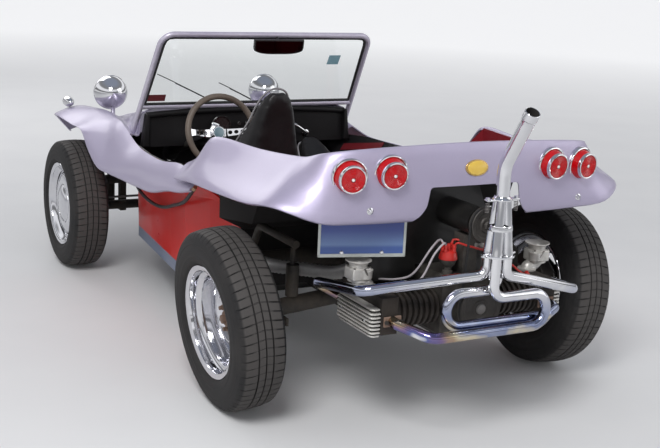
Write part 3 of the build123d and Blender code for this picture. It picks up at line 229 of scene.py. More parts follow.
def finish_of(name, colours, rough=(0.4, 0.6), metal=0.0, grain=0.0, grain_scale=300.0, broad=4.0, fine=60.0,
              coat=0.0, coat_rough=0.05, specular=0.5):
    """A material whose colour and roughness wander between two values, with a fine grain as bump."""
    material, tree, shader = new_material(name)
    tone = uneven(tree, broad, fine)
    shade(tree, shader, Base_Color=ramp_of(tree, tone, *colours), Roughness=spread(tree, tone, *rough), Metallic=metal,
          Coat_Weight=coat, Coat_Roughness=coat_rough, Specular_IOR_Level=specular)
    if grain:
        speck = fed(tree, "ShaderNodeTexNoise", "Fac", Vector=fed(tree, "ShaderNodeTexCoord", "Object"),
                    Scale=grain_scale, Detail=4.0)
        shade(tree, shader, Normal=fed(tree, "ShaderNodeBump", "Normal", Strength=grain, Distance=0.001, Height=speck))
    return material


def dress(material, *nodes):
    """Gives CAD nodes a material."""
    for node in nodes:
        painted(cad_nodes[node], material)


def painted(piece, material):
    """The piece, in one material."""
    piece.data.materials.clear()
    piece.data.materials.append(material)
    return piece


hose_rubber = finish_of("hose_rubber", ((0.012, 0.012, 0.013), (0.035, 0.034, 0.033)), (0.45, 0.7), grain=0.25,
                        grain_scale=500)
hose_tan = finish_of("hose_tan", ((0.42, 0.30, 0.16), (0.55, 0.42, 0.26)), (0.5, 0.7), grain=0.2)


def bar_line(name, points, radius, order=3, sides=6, cyclic=False):
    """A round bevelled curve along points in metres, as a new object."""
    curve = bpy.data.curves.new(name, "CURVE")
    curve.dimensions = "3D"
    spline = curve.splines.new("NURBS")
    spline.points.add(len(points) - 1)
    for control, point in zip(spline.points, points):
        control.co = (*point, 1)
    spline.order_u = order
    spline.use_endpoint_u = not cyclic
    spline.use_cyclic_u = cyclic
    curve.bevel_depth = radius
    curve.bevel_resolution = sides
    curve.use_fill_caps = not cyclic
    bar = bpy.data.objects.new(name, curve)
    bpy.context.scene.collection.objects.link(bar)
    return bar


loose_hose = bar_line("loose_hose", [(x, y - AXLE_AHEAD, z) for x, y, z in HOSE_POINTS], HOSE_RADIUS, sides=5)
loose_hose.data.materials.append(hose_rubber)
dress(hose_tan, "hose_ends")
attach(loose_hose, "root")
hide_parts("side_hose")


# Front body: one glass-fibre moulding with the hood's crown, the valleys beside it, both fenders and
# the flanks that run back along the cockpit. Sprayed lavender metallic under clear lacquer.
MM = 0.001
SKIN = 0.005
PER_STATION = 5          # rows laid for each station
PER_POINT = 5            # columns laid for each point of a station
FLANK_POINTS_LEFT_OUT = 3
# y, then x z of centre, hood edge, valley, crest, crease, lower edge (y from the rear axle)
FRONT_STATIONS = [
    (1450, 0, 885, 530, 860, 549, 755, 590, 762, 665, 652, 694, 582),
    (1600, 0, 868, 478, 842, 534, 752, 580, 793, 667, 662, 700, 583),
    (1746, 0, 848, 430, 820, 500, 750, 556, 788, 676, 702, 700, 640),
    (1860, 0, 832, 395, 803, 466, 746, 537, 785, 680, 728, 700, 716),
    (2030, 0, 800, 360, 770, 424, 744, 530, 786, 680, 728, 699, 720),
    (2300, 0, 745, 310, 722, 385, 712, 528, 770, 672, 738, 696, 724),
    (2500, 0, 662, 270, 642, 350, 650, 518, 744, 636, 716, 660, 700),
    (2640, 0, 590, 230, 576, 320, 592, 470, 690, 578, 672, 600, 655),
    (2712, 0, 522, 200, 512, 300, 524, 420, 602, 500, 590, 522, 578),
]
# y, then x z of sill top, crease, lower edge
FLANK_STATIONS = [
    (440, 660, 738, 672, 728, 690, 708),
    (560, 640, 757, 668, 726, 690, 678),
    (700, 632, 763, 668, 712, 690, 656),
    (900, 630, 736, 667, 684, 690, 610),
    (1100, 620, 730, 666, 668, 682, 592),
    (1300, 600, 732, 666, 656, 688, 586),
]
FLANK_RISE_IN = (-34, 22)      # the way the surface would carry on above the sill
EDGE_LIP = 12


def smooth_line(points, per_span):
    """Points along a smooth curve that passes through all the given ones."""
    knots = [0.0]
    for a, b in zip(points, points[1:]):
        knots.append(knots[-1] + max((b - a).length, 1e-5) ** 0.5)
    last = len(points) - 1
    slopes = []
    for i in range(len(points)):
        before, after = max(i - 1, 0), min(i + 1, last)
        if before == i or after == i:
            slopes.append((points[after] - points[before]) / (knots[after] - knots[before]))
            continue
        left, right = knots[i] - knots[before], knots[after] - knots[i]
        slopes.append(
            ((points[i] - points[before]) * (right / left) + (points[after] - points[i]) * (left / right))
            / (left + right)
        )
    line = []
    for i in range(last):
        step = knots[i + 1] - knots[i]
        for k in range(per_span):
            t = k / per_span
            line.append(
                points[i] * (2 * t ** 3 - 3 * t ** 2 + 1) + points[i + 1] * (3 * t ** 2 - 2 * t ** 3)
                + slopes[i] * (step * (t ** 3 - 2 * t ** 2 + t)) + slopes[i + 1] * (step * (t ** 3 - t ** 2))
            )
    line.append(points[-1])
    return line


@contextmanager
def edited(piece):
    """Opens a piece's mesh for editing, and writes it back."""
    shape = bmesh.new()
    shape.from_mesh(piece.data)
    yield shape
    shape.to_mesh(piece.data)
    shape.free()


def laid_grid(name, rows):
    """A grid primitive laid over rows of points. Where a point is None there is no surface."""
    select_only()
    bpy.ops.mesh.primitive_grid_add(x_subdivisions=len(rows[0]) - 1, y_subdivisions=len(rows) - 1)
    piece = bpy.context.object
    piece.name = name
    with edited(piece) as shape:
        shape.verts.ensure_lookup_table()
        bare = []
        for vertex, point in zip(shape.verts, [p for row in rows for p in row]):
            if point is None:
                bare.append(vertex)
            else:
                vertex.co = point
        bmesh.ops.delete(shape, geom=bare, context="VERTS")
    return piece


def finish_modifiers(piece):
    """Applies every modifier of a piece, top to bottom."""
    select_only(piece)
    for modifier in list(piece.modifiers):
        bpy.ops.object.modifier_apply(modifier=modifier.name)


def face_outwards(piece):
    """Closes the seams of a piece and turns its faces outward."""
    with edited(piece) as shape:
        bmesh.ops.remove_doubles(shape, verts=shape.verts, dist=1e-5)
        bmesh.ops.recalc_face_normals(shape, faces=shape.faces)


def soften(piece, angle=32):
    """Smooth shading that keeps edges sharper than the angle."""
    select_only(piece)
    bpy.ops.object.shade_smooth_by_angle(angle=math.radians(angle))


def thicken(piece, thickness, smooth=True, offset=-1.0):
    """Gives a sheet its thickness, inwards from its face unless told otherwise."""
    wall = piece.modifiers.new("wall", "SOLIDIFY")
    wall.thickness, wall.offset, wall.use_even_offset = thickness, offset, True
    finish_modifiers(piece)
    if smooth:
        soften(piece)


def bevelled(piece, width, segments, angle=30):
    """Rounds the edges of a piece that are sharper than the angle."""
    edge = piece.modifiers.new("edge", "BEVEL")
    edge.width, edge.segments, edge.limit_method, edge.angle_limit = width, segments, "ANGLE", math.radians(angle)
    finish_modifiers(piece)


def cut_with(piece, tool, operation="DIFFERENCE"):
    """Cuts one mesh with another, and drops the tool."""
    cut = piece.modifiers.new("cut", "BOOLEAN")
    cut.operation, cut.object, cut.solver = operation, tool, "EXACT"
    finish_modifiers(piece)
    bpy.data.objects.remove(tool)


def place_it(piece, node=None, body="root", material=None):
    """Hands a finished piece to the frame: its body, the CAD node it stands for and material."""
    if material:
        painted(piece, material)
    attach(piece, body)
    if node:
        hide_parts(node)


def at_mm(x, y, z):
    """A point given in millimetres from the rear axle and the ground."""
    return Vector((x * MM, y * MM - AXLE_AHEAD, z * MM))


def mirrored(points):
    """The points on the other side of the car."""
    return [Vector((-p.x, p.y, p.z)) if p else None for p in points]


def body_skin(name, rows):
    """A moulding laid over rows of points, facing up and out, as thick as its laminate."""
    skin = laid_grid(name, rows)
    face_outwards(skin)
    if sum(f.normal.z * f.area for f in skin.data.polygons) < 0:
        skin.data.flip_normals()
    thicken(skin, SKIN)
    return skin


stations = []
for y, *outline in FLANK_STATIONS:
    inward = (outline[0] + FLANK_RISE_IN[0], outline[1] + FLANK_RISE_IN[1])
    outline = (*inward, *outline)
    stations.append([None, None, *[at_mm(x, y, z) for x, z in zip(outline[0::2], outline[1::2])]])
for y, *outline in FRONT_STATIONS:
    stations.append([at_mm(x, y, z) for x, z in zip(outline[0::2], outline[1::2])])
for station in stations:
    station.append(station[-1] + Vector((-EDGE_LIP * MM, 0, -0.6 * EDGE_LIP * MM)))
columns = []
for column in zip(*stations):
    line = smooth_line([point for point in column if point], PER_STATION)
    columns.append([None] * ((len(stations) - 1) * PER_STATION + 1 - len(line)) + line)
rows = []
for right in zip(*columns):
    if right[0] is None:
        flank = smooth_line([point for point in right if point], PER_POINT)[PER_POINT:]
        half = [None] * (FLANK_POINTS_LEFT_OUT * PER_POINT) + flank
        rows.append([*mirrored(reversed(half)), *half[1:]])
    else:
        rows.append(smooth_line([*mirrored(reversed(right[1:])), *right], PER_POINT))
front_body = body_skin("front_body_moulding", rows)

# The lacquer is a metallic base coat: fine flake in a lavender silver, with a clear coat over it.
lavender, tree, shader = new_material("lavender_metallic")
spot = fed(tree, "ShaderNodeTexCoord", "Object")
flake = fed(tree, "ShaderNodeTexVoronoi", "Color", Vector=spot, Scale=2600.0)
orange_peel = fed(tree, "ShaderNodeTexNoise", "Fac", Vector=spot, Scale=90.0, Detail=1.0)
shade(
    tree, shader, Base_Color=ramp_of(tree, flake, (0.37, 0.33, 0.47), (0.51, 0.465, 0.60)),
    Roughness=spread(tree, uneven(tree, 2.0, 18.0), 0.40, 0.52), Metallic=0.45, Coat_Weight=0.4, Coat_Roughness=0.10,
    Coat_Normal=fed(tree, "ShaderNodeBump", "Normal", Strength=0.04, Distance=0.002, Height=orange_peel),
)

# Hood lid: cut from the same moulding along its shut line, which stays open as a thin gap all round.
# It is laid up and sprayed as the body is.
LID_OUTLINE = ((455, 1490), (318, 2030), (250, 2380))     # half-width and distance ahead of the rear axle
LID_WAIST = 2000                                          # behind it the outline grows backwards, ahead of it forwards
SHUT_LINE = 2.5


def flat_outline(points):
    """A filled circle primitive whose corners are moved to the points."""
    select_only()
    bpy.ops.mesh.primitive_circle_add(vertices=len(points), fill_type="NGON")
    outline = bpy.context.object
    for vertex, point in zip(outline.data.vertices, points):
        vertex.co = point
    return outline


def swept(outline, by):
    """Extrudes a filled outline into a block."""
    select_only(outline)
    bpy.ops.object.mode_set(mode="EDIT")
    bpy.ops.mesh.select_all(action="SELECT")
    bpy.ops.mesh.extrude_region_move(TRANSFORM_OT_translate={"value": by})
    bpy.ops.object.mode_set(mode="OBJECT")
    face_outwards(outline)


def rounded_along(shape, axis, length, radius, segments=6, keep=lambda edge: True):
    """Rounds the edges that run along an axis for more than a length."""
    along = [
        edge for edge in shape.edges
        if abs(edge.verts[0].co[axis] - edge.verts[1].co[axis]) > length and keep(edge)
    ]
    bmesh.ops.bevel(shape, geom=along, offset=radius, segments=segments, affect="EDGES", profile=0.5)


def lid_block(grow):
    """A tall block with the lid's plan, larger by grow in millimetres all round."""
    right = [(x + grow, y + (grow if y > LID_WAIST else -grow)) for x, y in LID_OUTLINE]
    block = flat_outline([at_mm(x, y, 500) for x, y in [*right, *[(-x, y) for x, y in reversed(right)]]])
    swept(block, (0, 0, 0.6))
    with edited(block) as shape:
        rounded_along(shape, 2, 0.3, 0.03, keep=lambda edge: edge.calc_face_angle() > 0.5)
    return block


hood_lid = front_body.copy()
hood_lid.data = front_body.data.copy()
hood_lid.name = "hood_lid"
bpy.context.scene.collection.objects.link(hood_lid)
cut_with(hood_lid, lid_block(-SHUT_LINE), "INTERSECT")
cut_with(front_body, lid_block(SHUT_LINE))
for piece, node in ((front_body, "body_front"), (hood_lid, "hood")):
    soften(piece)
    place_it(piece, node, material=lavender)

# Rear body: a second moulding that sweeps from the flanks round the engine bay, with a rolled rim,
# a soft crease and a cut-out at the tail for the engine. Laid up and painted as the front is.
# plan origin x y, direction from the side in degrees, then out and up to rim, crease and edge
REAR_STATIONS = [
    (0, 590, 0, 636, 790, 666, 765, 696, 727),
    (0, 530, 0, 634, 812, 668, 778, 701, 735),
    (0, 470, 0, 630, 846, 672, 800, 707, 743),
    (0, 400, 0, 626, 912, 670, 832, 712, 752),
    (0, 340, 0, 620, 930, 664, 852, 717, 758),
    (0, 60, 0, 580, 931, 658, 856, 732, 778),
    (0, -200, 0, 564, 951, 654, 872, 740, 800),
    (450, -200, 30, 122, 958, 236, 880, 314, 820),
    (450, -200, 60, 190, 986, 250, 872, 290, 780),
    (450, -200, 90, 218, 1003, 243, 856, 241, 764),
    (0, -200, 90, 243, 1018, 266, 856, 261, 763),
]
RIM_ROLL = (16, 6)
CUTOUT = (
    (-250, 700), (-243, 755), (-215, 774), (-192, 806), (-181, 873), (181, 873), (192, 806), (215, 774), (243, 755),
    (250, 700),
)
CUTOUT_FOOT = 0.75       # corners lower than this stay sharp, as they are below the body

sides = []
for origin_x, origin_y, angle, rim_d, rim_z, mid_d, mid_z, edge_d, edge_z in REAR_STATIONS:
    lip = min(13, 0.5 * math.hypot(edge_d - mid_d, edge_z - mid_z))
    profile = (
        (rim_d - RIM_ROLL[0], rim_z - RIM_ROLL[1] - 6), (rim_d - 0.6 * RIM_ROLL[0], rim_z - 1), (rim_d, rim_z - 2),
        (mid_d, mid_z), (edge_d, edge_z), (edge_d - lip, edge_z - 0.6 * lip),
    )
    turn = math.radians(angle)
    sides.append([at_mm(origin_x + d * math.cos(turn), origin_y - d * math.sin(turn), z) for d, z in profile])
sides += [mirrored(side) for side in reversed(sides[:-1])]
lines = [smooth_line(line, PER_STATION) for line in zip(*sides)]
rear_body = body_skin("rear_body_moulding", [smooth_line(row, PER_POINT) for row in zip(*lines)])
bay = flat_outline([at_mm(x, -700, z) for x, z in CUTOUT])
with edited(bay) as shape:
    corners = [vertex for vertex in shape.verts if vertex.co.z > CUTOUT_FOOT]
    bmesh.ops.bevel(shape, geom=corners, offset=0.012, segments=5, affect="VERTICES", profile=0.5)
swept(bay, (0, 0.45, 0))
cut_with(rear_body, bay)
soften(rear_body)
place_it(rear_body, "body_rear", material=lavender)


# Floorpan: pressed steel with a backbone tunnel, stoved black and dusty. Along its edges run folded
# rails in a blue-grey paint that has dulled and scuffed.
pan_black = finish_of("pan_black", ((0.018, 0.018, 0.018), (0.07, 0.065, 0.055)), (0.5, 0.85), grain=0.3,
                      grain_scale=220)
rail_blue = finish_of("rail_blue", ((0.17, 0.20, 0.29), (0.25, 0.28, 0.36)), (0.35, 0.6), metal=0.15, grain=0.12)
dress(pan_black, "floor_pan")
dress(rail_blue, "side_rails")


# Tub: glass-fibre walls between rail and sill, sprayed bright red outside. Inside and on their tops
# they are trimmed in pebbled black vinyl.
def two_faced(name, outside, inside, rough_out, rough_in, coat=0.0, shelf=False):
    """A shell painted on the side that looks away from the car's middle, and trimmed on the other and
    on top. On a shelf, slopes that look up or ahead are trimmed too."""
    material = finish_of(name, outside, rough_out, coat=coat, specular=0.25)
    tree, shader = material.node_tree, material.node_tree.nodes["Principled BSDF"]
    where = tree.nodes.new("ShaderNodeTexCoord")
    at, facing = tree.nodes.new("ShaderNodeSeparateXYZ"), tree.nodes.new("ShaderNodeSeparateXYZ")
    tree.links.new(where.outputs["Object"], at.inputs[0])
    tree.links.new(where.outputs["Normal"], facing.inputs[0])
    mask = math_of(tree, "LESS_THAN", math_of(tree, "MULTIPLY", at.outputs["X"], facing.outputs["X"]), -0.1)
    for way, limit in (("Z", 0.2), ("Y", 0.6)) if shelf else (("Z", 0.5),):
        mask = math_of(tree, "MAXIMUM", mask, math_of(tree, "GREATER_THAN", facing.outputs[way], limit))
    grain = fed(tree, "ShaderNodeTexVoronoi", "Distance", Vector=where.outputs["Object"], Scale=420.0)
    for target, inner in (
        ("Base Color", ramp_of(tree, grain, *inside)), ("Roughness", spread(tree, grain, *rough_in)),
    ):
        outer = shader.inputs[target].links[0].from_socket
        mixed = {"data_type": "RGBA"} if target == "Base Color" else {}
        both = fed(tree, "ShaderNodeMix", "Result", **mixed, Factor=mask, A=outer, B=inner)
        tree.links.new(both, shader.inputs[target])
    pebble = math_of(tree, "MULTIPLY", grain, mask)
    shade(tree, shader, Normal=fed(tree, "ShaderNodeBump", "Normal", Strength=0.25, Distance=0.0006, Height=pebble))
    return material


tub_finish = two_faced(
    "tub_red_and_vinyl", ((0.60, 0.010, 0.006), (0.66, 0.014, 0.008)), ((0.004, 0.0035, 0.004), (0.010, 0.009, 0.010)),
    (0.26, 0.36), (0.55, 0.7), coat=0.12,
)
dress(tub_finish, "lower_tub")

# Sill welts: a flat strip of maroon vinyl glued along the inside of each sill, ahead of the seats.
# It climbs as it runs back, and is laid on the tub's own wall.
WELT_START, WELT_LENGTH, WELT_CLIMB, WELT_STEPS = 1440, 290, 50, 12
maroon_vinyl = finish_of("maroon_vinyl", ((0.10, 0.006, 0.010), (0.18, 0.014, 0.020)), (0.4, 0.6), grain=0.2,
                         specular=0.3)
for side, name in ((-1, "left"), (1, "right")):
    rows = []
    for k in range(WELT_STEPS + 1):
        run = k / WELT_STEPS
        row = []
        for z in (643, 653, 668, 675):
            start = at_mm(side * 300, WELT_START - WELT_LENGTH * run, z + WELT_CLIMB * run)
            hit, point, _, _ = cad_nodes["lower_tub"].ray_cast(start, Vector((side, 0, 0)))
            row.append(point - Vector((side * MM, 0, 0)) if hit else Vector((side * 0.57, start.y, start.z)))
        rows.append(row)
    welt = laid_grid(f"sill_welt_{name}", rows)
    face_outwards(welt)
    if (welt.data.polygons[0].normal.x > 0) == (side > 0):
        welt.data.flip_normals()
    thicken(welt, 0.003, offset=1.0)
    place_it(welt, material=maroon_vinyl)

# Rear deck: the moulded shelf over the gearbox, trimmed in maroon vinyl and undersealed below.
# Its trimmed faces are those that look up or ahead.
deck_finish = two_faced(
    "deck_maroon_and_underseal", ((0.012, 0.011, 0.011), (0.035, 0.031, 0.03)),
    ((0.16, 0.008, 0.014), (0.26, 0.02, 0.03)),
    (0.6, 0.9), (0.28, 0.42), shelf=True,
)
dress(deck_finish, "rear_liner")


# Dash: a black vinyl panel under the cowl with a padded roll along its top edge and a cheek at each
# end. In it sit one round instrument, four switches and, before the passenger, a chromed grab handle.
def turned_piece(name, profile, at, axis, steps=48, material=None, unit=1.0):
    """A profile of (distance along, radius) pairs, turned about a line as on a lathe."""
    along = Vector(axis).normalized()
    side = along.orthogonal().normalized()
    other = along.cross(side)
    rows = []
    for k in range(steps + 1):
        turn = 2 * math.pi * k / steps
        out = side * math.cos(turn) + other * math.sin(turn)
        rows.append([Vector(at) + along * (a * unit) + out * (r * unit) for a, r in profile])
    piece = laid_grid(name, rows)
    face_outwards(piece)
    soften(piece)
    return painted(piece, material) if material else piece


def round_bar(name, points, radius, material=None, order=3, sides=6, cyclic=False):
    """A bar, pipe or wire as a mesh, along a smooth line through or near the points."""
    bar = bar_line(name, points, radius, order, sides, cyclic)
    bar.data.splines[0].resolution_u = 1 if order == 2 else 5
    select_only(bar)
    bpy.ops.object.convert(target="MESH")
    bar = bpy.context.object
    soften(bar)
    return painted(bar, material) if material else bar


def blocky(name, low, high, rounding, material=None, segments=4):
    """A cube primitive set to a box in metres, with its edges rounded."""
    select_only()
    bpy.ops.mesh.primitive_cube_add(size=1)
    piece = bpy.context.object
    piece.name = name
    for vertex in piece.data.vertices:
        vertex.co = [h if c > 0 else l for c, l, h in zip(vertex.co, low, high)]
    if rounding:
        edge = piece.modifiers.new("edge", "BEVEL")
        edge.width, edge.segments, edge.limit_method = rounding, segments, "NONE"
        finish_modifiers(piece)
    soften(piece)
    return painted(piece, material) if material else piece


def merge(name, *pieces):
    """Joins meshes into one piece, each keeping its own material."""
    select_only(*pieces)
    bpy.ops.object.join()
    pieces[0].name = name
    return pieces[0]


black_vinyl = finish_of("black_vinyl", ((0.004, 0.0035, 0.004), (0.010, 0.009, 0.010)), (0.42, 0.60), grain=0.3,
                        grain_scale=650, specular=0.25)
chrome = finish_of("chrome", ((0.80, 0.80, 0.82), (0.70, 0.70, 0.72)), (0.04, 0.11), metal=1.0, broad=3.0, fine=25.0)
gloss_black = finish_of("gloss_black", ((0.008, 0.008, 0.008), (0.02, 0.02, 0.02)), (0.15, 0.3), coat=0.3)
steel_dark = finish_of("dark_steel", ((0.03, 0.028, 0.027), (0.10, 0.09, 0.08)), (0.45, 0.75), metal=0.4, grain=0.3)
dress(black_vinyl, "dash")

ROLL_LINE = (
    (-516, 1428, 848), (-400, 1424, 858), (-150, 1421, 868), (150, 1421, 868), (400, 1424, 858), (516, 1428, 848),
)
dash_roll = round_bar("dash_roll", [at_mm(*p) for p in ROLL_LINE], 0.015)
place_it(dash_roll, material=black_vinyl)

CHEEK_IN, CHEEK_OUT, CHEEK_FOOT, CHEEK_SPLAY = 510, 548, 524, 0.14
for side, name in ((-1, "left"), (1, "right")):
    cheek = blocky(f"dash_cheek_{name}", at_mm(-CHEEK_OUT, 1402, 704), at_mm(-CHEEK_IN, 1440, 858), 0.006)
    for vertex in cheek.data.vertices:
        away = (-vertex.co.x / MM - CHEEK_IN) / (CHEEK_OUT - CHEEK_IN)
        edge = CHEEK_FOOT + (0.858 - vertex.co.z) / MM * CHEEK_SPLAY
        vertex.co.x = side * (CHEEK_IN + away * (edge - CHEEK_IN)) * MM
    if side > 0:
        cheek.data.flip_normals()
    place_it(cheek, material=black_vinyl)

BACKWARDS = (0, -1, 0)
BEZEL = ((0, 0.052), (0.008, 0.052), (0.012, 0.048), (0.012, 0.044), (0.006, 0.042), (0, 0.042))
KNOB = ((0, 0), (0, 0.005), (0.012, 0.005), (0.013, 0.010), (0.020, 0.011), (0.024, 0.008), (0.024, 0))
dial_face = finish_of("dial_face", ((0.01, 0.01, 0.01), (0.03, 0.03, 0.03)), (0.2, 0.3), coat=0.5)
dial_at = at_mm(-147, 1425, 790)
dial = merge(
    "dash_dial",
    turned_piece("bezel", BEZEL, dial_at, BACKWARDS, material=gloss_black),
    turned_piece("face", ((0, 0), (0.005, 0), (0.005, 0.043), (0, 0.043)), dial_at, BACKWARDS, material=dial_face),
)
place_it(dial)
for number, (x, z) in enumerate(((-60, 800), (-20, 800), (20, 800), (-230, 750))):
    knob = turned_piece(f"dash_switch_{number}", KNOB, at_mm(x, 1425, z), BACKWARDS, 20)
    place_it(knob, material=gloss_black)

grab_points = [at_mm(*p) for p in (
    (212, 1426, 800), (212, 1396, 798), (222, 1380, 793), (250, 1374, 776), (285, 1378, 752), (304, 1394, 742),
    (306, 1426, 740),
)]
GRAB_FOOT = ((0, 0), (0, 0.018), (0.004, 0.018), (0.008, 0.009), (0.008, 0))
grab_feet = [turned_piece("grab_foot", GRAB_FOOT, at, BACKWARDS, 24) for at in (grab_points[0], grab_points[-1])]
grab = merge("grab_handle", round_bar("grab_bar", grab_points, 0.0075), *grab_feet)
place_it(grab, material=chrome)


# Windshield: flat safety glass in a bent hoop of painted alloy tube, with a black rubber seal. Two
# wipers park up the glass and a black mirror hangs under the top bar. Two blank paper stickers.
frame_paint = finish_of("frame_paint", ((0.46, 0.42, 0.53), (0.60, 0.57, 0.66)), (0.28, 0.45), metal=0.35, coat=0.4)
clear_glass, tree, shader = new_material("clear_glass")
film = fed(tree, "ShaderNodeTexNoise", "Fac", Vector=fed(tree, "ShaderNodeTexCoord", "Object"), Scale=14.0, Detail=5.0)
shade(tree, shader, Base_Color=(0.96, 0.98, 0.975, 1), Transmission_Weight=1.0, IOR=1.45, Roughness=fed(
    tree, "ShaderNodeMapRange", "Result", Value=film, From_Min=0.5, From_Max=0.9, To_Min=0.0, To_Max=0.04,
))
dress(frame_paint, "windshield_frame")
dress(clear_glass, "windshield_glass")

RAIL_Y, RAIL_Z = 1421, 890
TOP_Y, TOP_Z = 1208, 1237
pane_low, pane_high = at_mm(0, RAIL_Y, RAIL_Z), at_mm(0, TOP_Y, TOP_Z)
pane_up = (pane_high - pane_low).normalized()
pane_out = Vector((1, 0, 0)).cross(pane_up)
pane_top = (pane_high - pane_low).length / MM - 16       # the seal's upper edge, in millimetres up the glass


def on_pane(x, up, ahead=0.0):
    """A point on the glass from the middle of its lower rail, in millimetres."""
    return pane_low + Vector((x * MM, 0, 0)) + pane_up * up * MM - pane_out * ahead * MM


SEAL_CORNER = ((530, 16), (532, 18), (508, pane_top - 42), (502, pane_top - 18), (490, pane_top - 4), (462, pane_top))
seal_points = [(0, 16), *SEAL_CORNER, (0, pane_top), *[(-x, up) for x, up in reversed(SEAL_CORNER)]]
seal_black = finish_of("seal_rubber", ((0.010, 0.010, 0.011), (0.03, 0.03, 0.03)), (0.5, 0.7), grain=0.2)
seal = round_bar("glass_seal", [on_pane(*p) for p in seal_points], 0.0075, order=2, cyclic=True)
rail_strip = round_bar("rail_strip", [at_mm(side * 536, RAIL_Y, RAIL_Z) for side in (-1, 1)], 0.0138, order=2)
place_it(merge("glass_seal", seal, rail_strip), material=seal_black)

SPINDLE = ((0, 0), (0, 0.008), (0.024, 0.007), (0.028, 0.010), (0.034, 0.008), (0.034, 0))
fittings = []
for base_x, tip in ((-200, (-520, 188)), (11, (-199, 129))):
    base, end = on_pane(base_x, 10, 26), on_pane(*tip, 16)
    # each bar: its name, its points as the share of the way to the tip and the lift off the glass, its radius
    fittings.append(turned_piece("spindle", SPINDLE, at_mm(base_x, RAIL_Y + 13, RAIL_Z), (0, 1, 0), 20, gloss_black))
    for name, points, radius, material, order in (
        ("arm", ((0, 0), (0.30, 0.004), (0.62, 0)), 0.0032, gloss_black, 3),
        ("carrier", ((0.34, 0.001), (0.62, 0.008), (0.93, 0.001)), 0.0022, gloss_black, 3),
        ("blade", ((0.22, -0.006), (1, -0.002)), 0.003, seal_black, 2),
    ):
        line = [base.lerp(end, share) - pane_out * lift for share, lift in points]
        fittings.append(round_bar(name, line, radius, material, order))
mirror_at = at_mm(24, TOP_Y - 32, TOP_Z - 50)
MIRROR_HALF = Vector((0.125, 0.009, 0.034))
mirror_turn = Matrix.Rotation(math.radians(9), 3, "X")
mirror_tinted = finish_of("mirror_tinted", ((0.05, 0.052, 0.06), (0.07, 0.073, 0.08)), (0.02, 0.05), metal=1.0)
for name, inset, front, back, material in (
    ("mirror_shell", 0.0, 1.0, 1.0, gloss_black), ("mirror_glass", 0.007, 1.12, -0.9, mirror_tinted),
):
    half = MIRROR_HALF - Vector((inset, 0, inset))
    select_only()
    bpy.ops.mesh.primitive_grid_add(x_subdivisions=20, y_subdivisions=8)
    part = bpy.context.object
    part.name = name
    for vertex in part.data.vertices:
        across, up = vertex.co.x, vertex.co.y
        height = half.z * up if up > 0 else half.z * (1 - 0.42 * across ** 4) * up
        vertex.co = (across * half.x * (1 - 0.05 * (up < 0) * up ** 2), -half.y * front, height)
    face_outwards(part)
    wall = part.modifiers.new("wall", "SOLIDIFY")
    wall.thickness = half.y * (front + back)
    wall.offset = 1.0 if part.data.polygons[0].normal.y > 0 else -1.0
    finish_modifiers(part)
    if name == "mirror_shell":
        bevelled(part, 0.006, 4, 60)
    soften(part)
    for vertex in part.data.vertices:
        vertex.co = mirror_at + mirror_turn @ vertex.co
    fittings.append(painted(part, material))
stem_line = [mirror_at + Vector(p) for p in ((0, 0.004, 0.02), (0, 0.012, 0.034), (0, 0.027, 0.042))]
fittings.append(round_bar("mirror_stem", stem_line, 0.006, gloss_black))
place_it(merge("wipers_and_mirror", *fittings), "windshield_fittings")

paper_blue = finish_of("paper_blue", ((0.22, 0.42, 0.50), (0.34, 0.55, 0.62)), (0.5, 0.7))
paper_maroon = finish_of("paper_maroon", ((0.10, 0.012, 0.018), (0.18, 0.03, 0.035)), (0.5, 0.7))
for name, paper, x, up, (width, height) in (
    ("sticker_blue", paper_blue, 368, 266, (62, 54)), ("sticker_maroon", paper_maroon, -482, 52, (84, 38)),
):
    corners = [on_pane(x + a * width / 2, up + b * height / 2, -3.1) for b in (-1, 1) for a in (-1, 1)]
    sticker = laid_grid(name, [corners[:2], corners[2:]])
    thicken(sticker, 0.0004, smooth=False)
    place_it(sticker, material=paper)


# Headlamps: chromed bowls on stalks in the valley beside the hood, with a ribbed glass lens and rim.
# Turn signals: small chromed bullets on the fenders, with an amber glass at the front.
lamp_glass = finish_of("lamp_glass", ((0.62, 0.66, 0.68), (0.78, 0.80, 0.82)), (0.08, 0.2), metal=0.35, coat=1.0,
                       coat_rough=0.02)
amber_glass = finish_of("amber_glass", ((0.65, 0.20, 0.02), (0.85, 0.32, 0.05)), (0.1, 0.2), coat=1.0)
FORWARDS, UPWARDS = (0, 1, 0), (0, 0, 1)
LAMP_AT = (439, 2210, 853)
LAMP_BOWL = (
    (-92, 0), (-91.5, 12), (-88, 26), (-80, 43), (-66, 58), (-48, 71), (-28, 80), (-8, 85.5), (-2, 86.5), (0, 88.5),
    (5, 89), (13, 89), (17, 86.5), (19, 83), (17.5, 80), (12, 79),
)
LAMP_LENS = ((14, 80), (18, 78), (22, 66), (25, 46), (26.5, 24), (27, 0))
LAMP_STALK = ((0, 0), (0, 20), (9, 20), (13, 13), (18, 11), (67, 11), (79, 16), (87, 0))
LENS_RIB, LENS_PITCH = 0.0006, 0.009
lamps = []
for side in (-1, 1):
    x, y, z = LAMP_AT
    centre = at_mm(side * x, y, z)
    lens = turned_piece("lens", LAMP_LENS, centre, FORWARDS, 96, lamp_glass, MM)
    for vertex in lens.data.vertices:
        vertex.co.y += LENS_RIB * math.cos((vertex.co.x - centre.x) / LENS_PITCH * 2 * math.pi)
    lamps += [
        turned_piece("bowl", LAMP_BOWL, centre, FORWARDS, 72, chrome, MM), lens,
        turned_piece("stalk", LAMP_STALK, at_mm(side * x, y - 36, 724), UPWARDS, 32, chrome, MM),
    ]
place_it(merge("headlamp_pair", *lamps), "headlamps")

